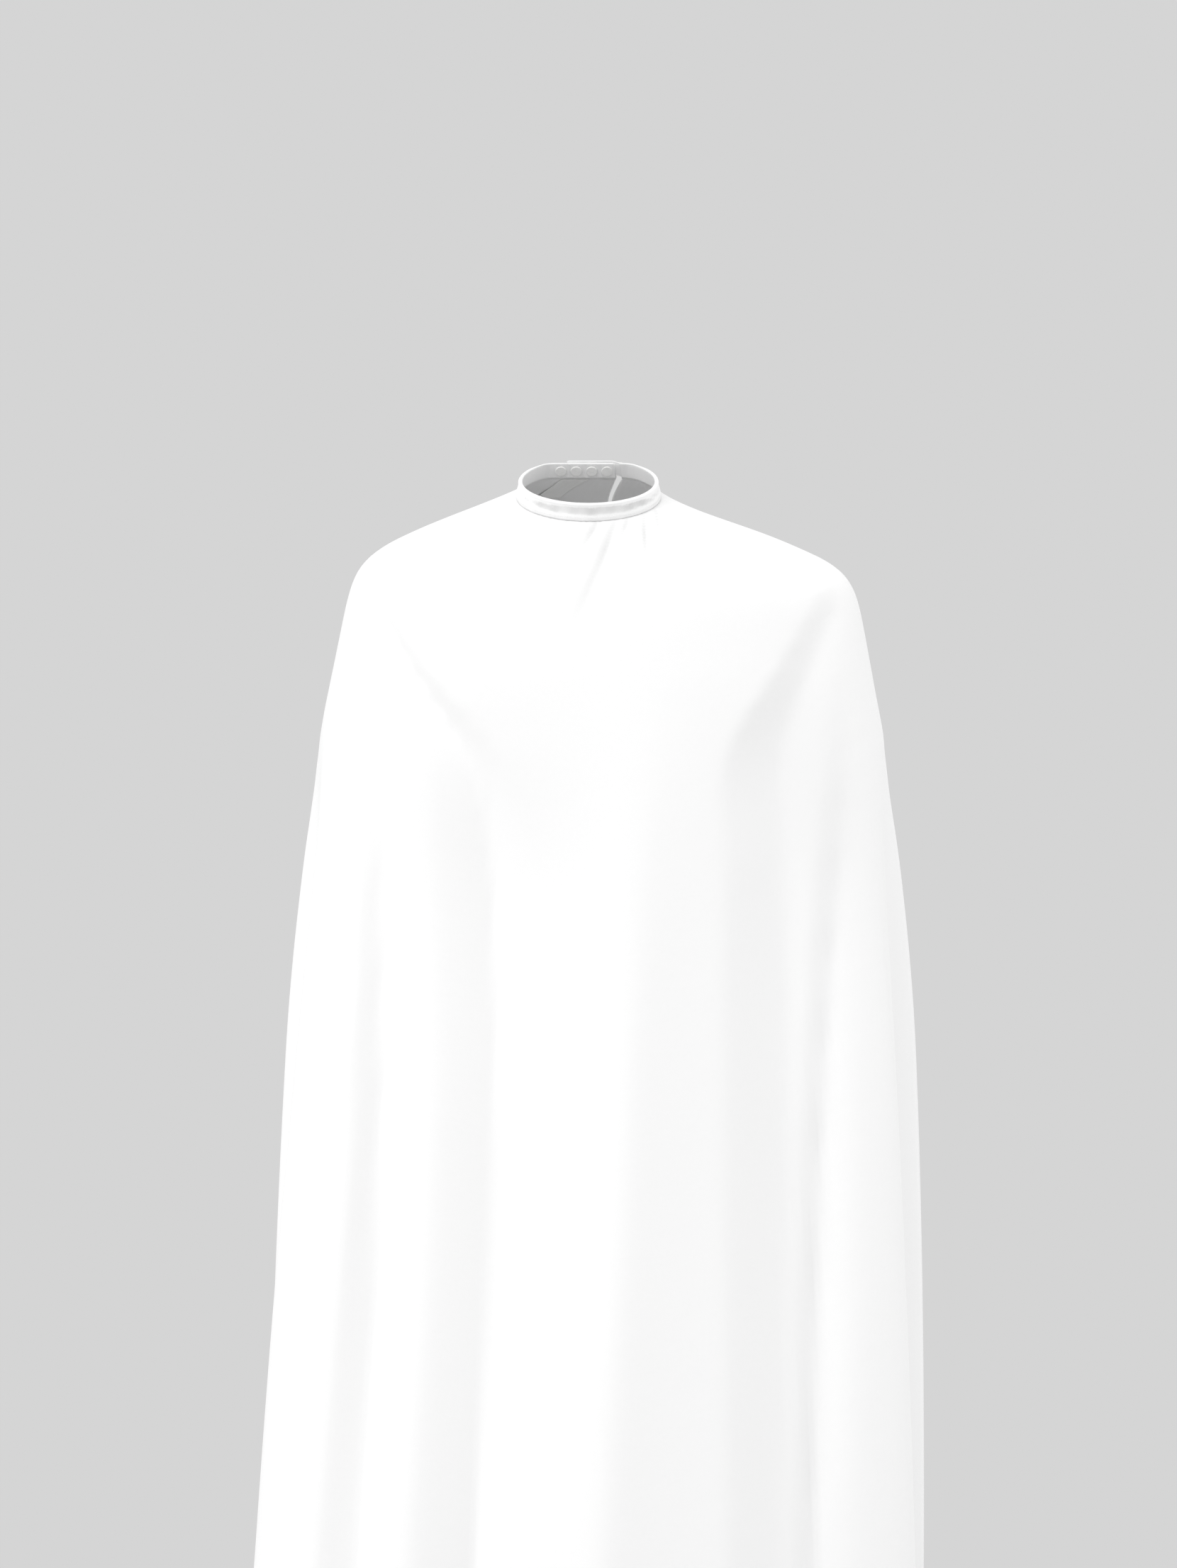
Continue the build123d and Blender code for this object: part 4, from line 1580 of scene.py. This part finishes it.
# ---------------------------------------------------------------- studio
@dataclass(frozen=True)
class SoftSun:
    """Broad soft light from one direction.

    Args:
        name: what it is called.
        azimuth: where it comes from, 0 in front and positive towards +X, in radians.
        elevation: above the horizon, in radians.
        spread: angle that it fills, in radians.
        strength: its strength.
    """

    name: str = "key"
    azimuth: float = math.radians(-42)
    elevation: float = math.radians(47)
    spread: float = math.radians(40)
    strength: float = 1.19

    def build(self) -> bpy.types.Object:
        """Makes the light."""
        light = bpy.data.lights.new(self.name, "SUN")
        light.energy, light.angle = self.strength, self.spread
        made = bpy.data.objects.new(self.name, light)
        flat = math.cos(self.elevation)
        source = Vector((flat * math.sin(self.azimuth), -flat * math.cos(self.azimuth),
                         math.sin(self.elevation)))
        made.location = 3 * source
        made.rotation_euler = (-source).to_track_quat("-Z", "Y").to_euler()
        bpy.context.scene.collection.objects.link(made)
        return made


@dataclass(frozen=True)
class Studio:
    """Camera, soft light and a pale floor.

    Args:
        distance: from the camera to what it aims at.
        elevation: of the camera above the horizon, in radians.
        aim: what the camera looks at.
        frame_height: height seen at that distance.
        surround: grey of the surroundings as seen.
        ambient: grey of the light that they give.
        floor_level: height of the floor.
        floor_radius: radius of the round floor.
        key: the light from the front.
        side: the weaker light from the other side.
    """

    distance: float = 4.0
    elevation: float = math.radians(6.5)
    aim: tuple = (0.0, 0.0, -0.287)
    frame_height: float = 1.526
    surround: float = 0.665
    ambient: float = 0.855
    floor_level: float = -1.36
    floor_radius: float = 0.8
    key: SoftSun = SoftSun()
    side: SoftSun = SoftSun("side", math.radians(95), math.radians(20), math.radians(50), 0.45)

    def build(self) -> None:
        """Makes the studio and sets the scene's camera."""
        scene = bpy.context.scene
        scene.view_settings.view_transform = "Standard"
        world = bpy.data.worlds.new("surround")
        world.use_nodes = True
        tree = world.node_tree
        view = add_node(tree, "ShaderNodeLightPath")
        shade = add_node(tree, "ShaderNodeMix", data_type="FLOAT")
        shade.inputs["A"].default_value = self.ambient
        shade.inputs["B"].default_value = self.surround
        tree.links.new(view.outputs["Is Camera Ray"], shade.inputs["Factor"])
        tree.links.new(shade.outputs["Result"], tree.nodes["Background"].inputs["Color"])
        scene.world = world
        self.key.build()
        self.side.build()
        self.add_floor()
        data = bpy.data.cameras.new("camera")
        data.sensor_fit = "VERTICAL"
        data.lens = data.sensor_height * self.distance / self.frame_height
        camera = bpy.data.objects.new("camera", data)
        back = Vector((0, -math.cos(self.elevation), math.sin(self.elevation)))
        camera.location = Vector(self.aim) + back * self.distance
        camera.rotation_euler = (-back).to_track_quat("-Z", "Y").to_euler()
        scene.collection.objects.link(camera)
        scene.camera = camera

    def add_floor(self) -> None:
        """Makes the round floor."""
        turn = np.linspace(0, 2 * math.pi, 96, endpoint=False)
        rim = np.stack([self.floor_radius * np.cos(turn), self.floor_radius * np.sin(turn),
                        0 * turn + self.floor_level], -1)
        grey = bpy.data.materials.new("pale_floor")
        grey.use_nodes = True
        shader = grey.node_tree.nodes["Principled BSDF"]
        shader.inputs["Base Color"].default_value = (0.6, 0.6, 0.6, 1)
        shader.inputs["Roughness"].default_value = 0.9
        make_piece("floor", rim, [list(range(96))], grey)


CAD_FINISHES = {
    "neck_elastic": "elastic", "neckline_seam_thread": "thread",
    "underlap_interlining": "interlining", "tab_interlining": "interlining",
    **{f"{part}_{number}": "snap" for part in ("stud", "stud_cap") for number in (1, 2, 3, 4)},
    **{f"{part}_{number}": "snap" for part in ("socket", "socket_cap") for number in (1, 2)},
}


def main() -> None:
    """Builds the cape piece by piece, then the studio, and reports each piece."""
    logging.basicConfig(level=logging.INFO, format="%(name)s: %(message)s")
    finishes = Finishes()
    shape = BandShape()
    panel = CapePanel(WornForm(), shape)
    cloth = panel.build(finishes)
    hems = HemStitching(panel).build(finishes)
    band, zigzag = NeckBand(shape).build(finishes)
    tab, on_tab, on_underlap = Closure(shape).build(finishes)
    label = CareLabel(panel).build(finishes)
    for node, slot in CAD_FINISHES.items():
        finishes.dress_node(node, slot)
    for piece in (cloth, *hems, band, zigzag, tab, on_tab, on_underlap, label):
        LOG.info("%s: %d faces", piece.name, len(piece.data.polygons))
    Studio().build()


if __name__ == "__main__":
    main()
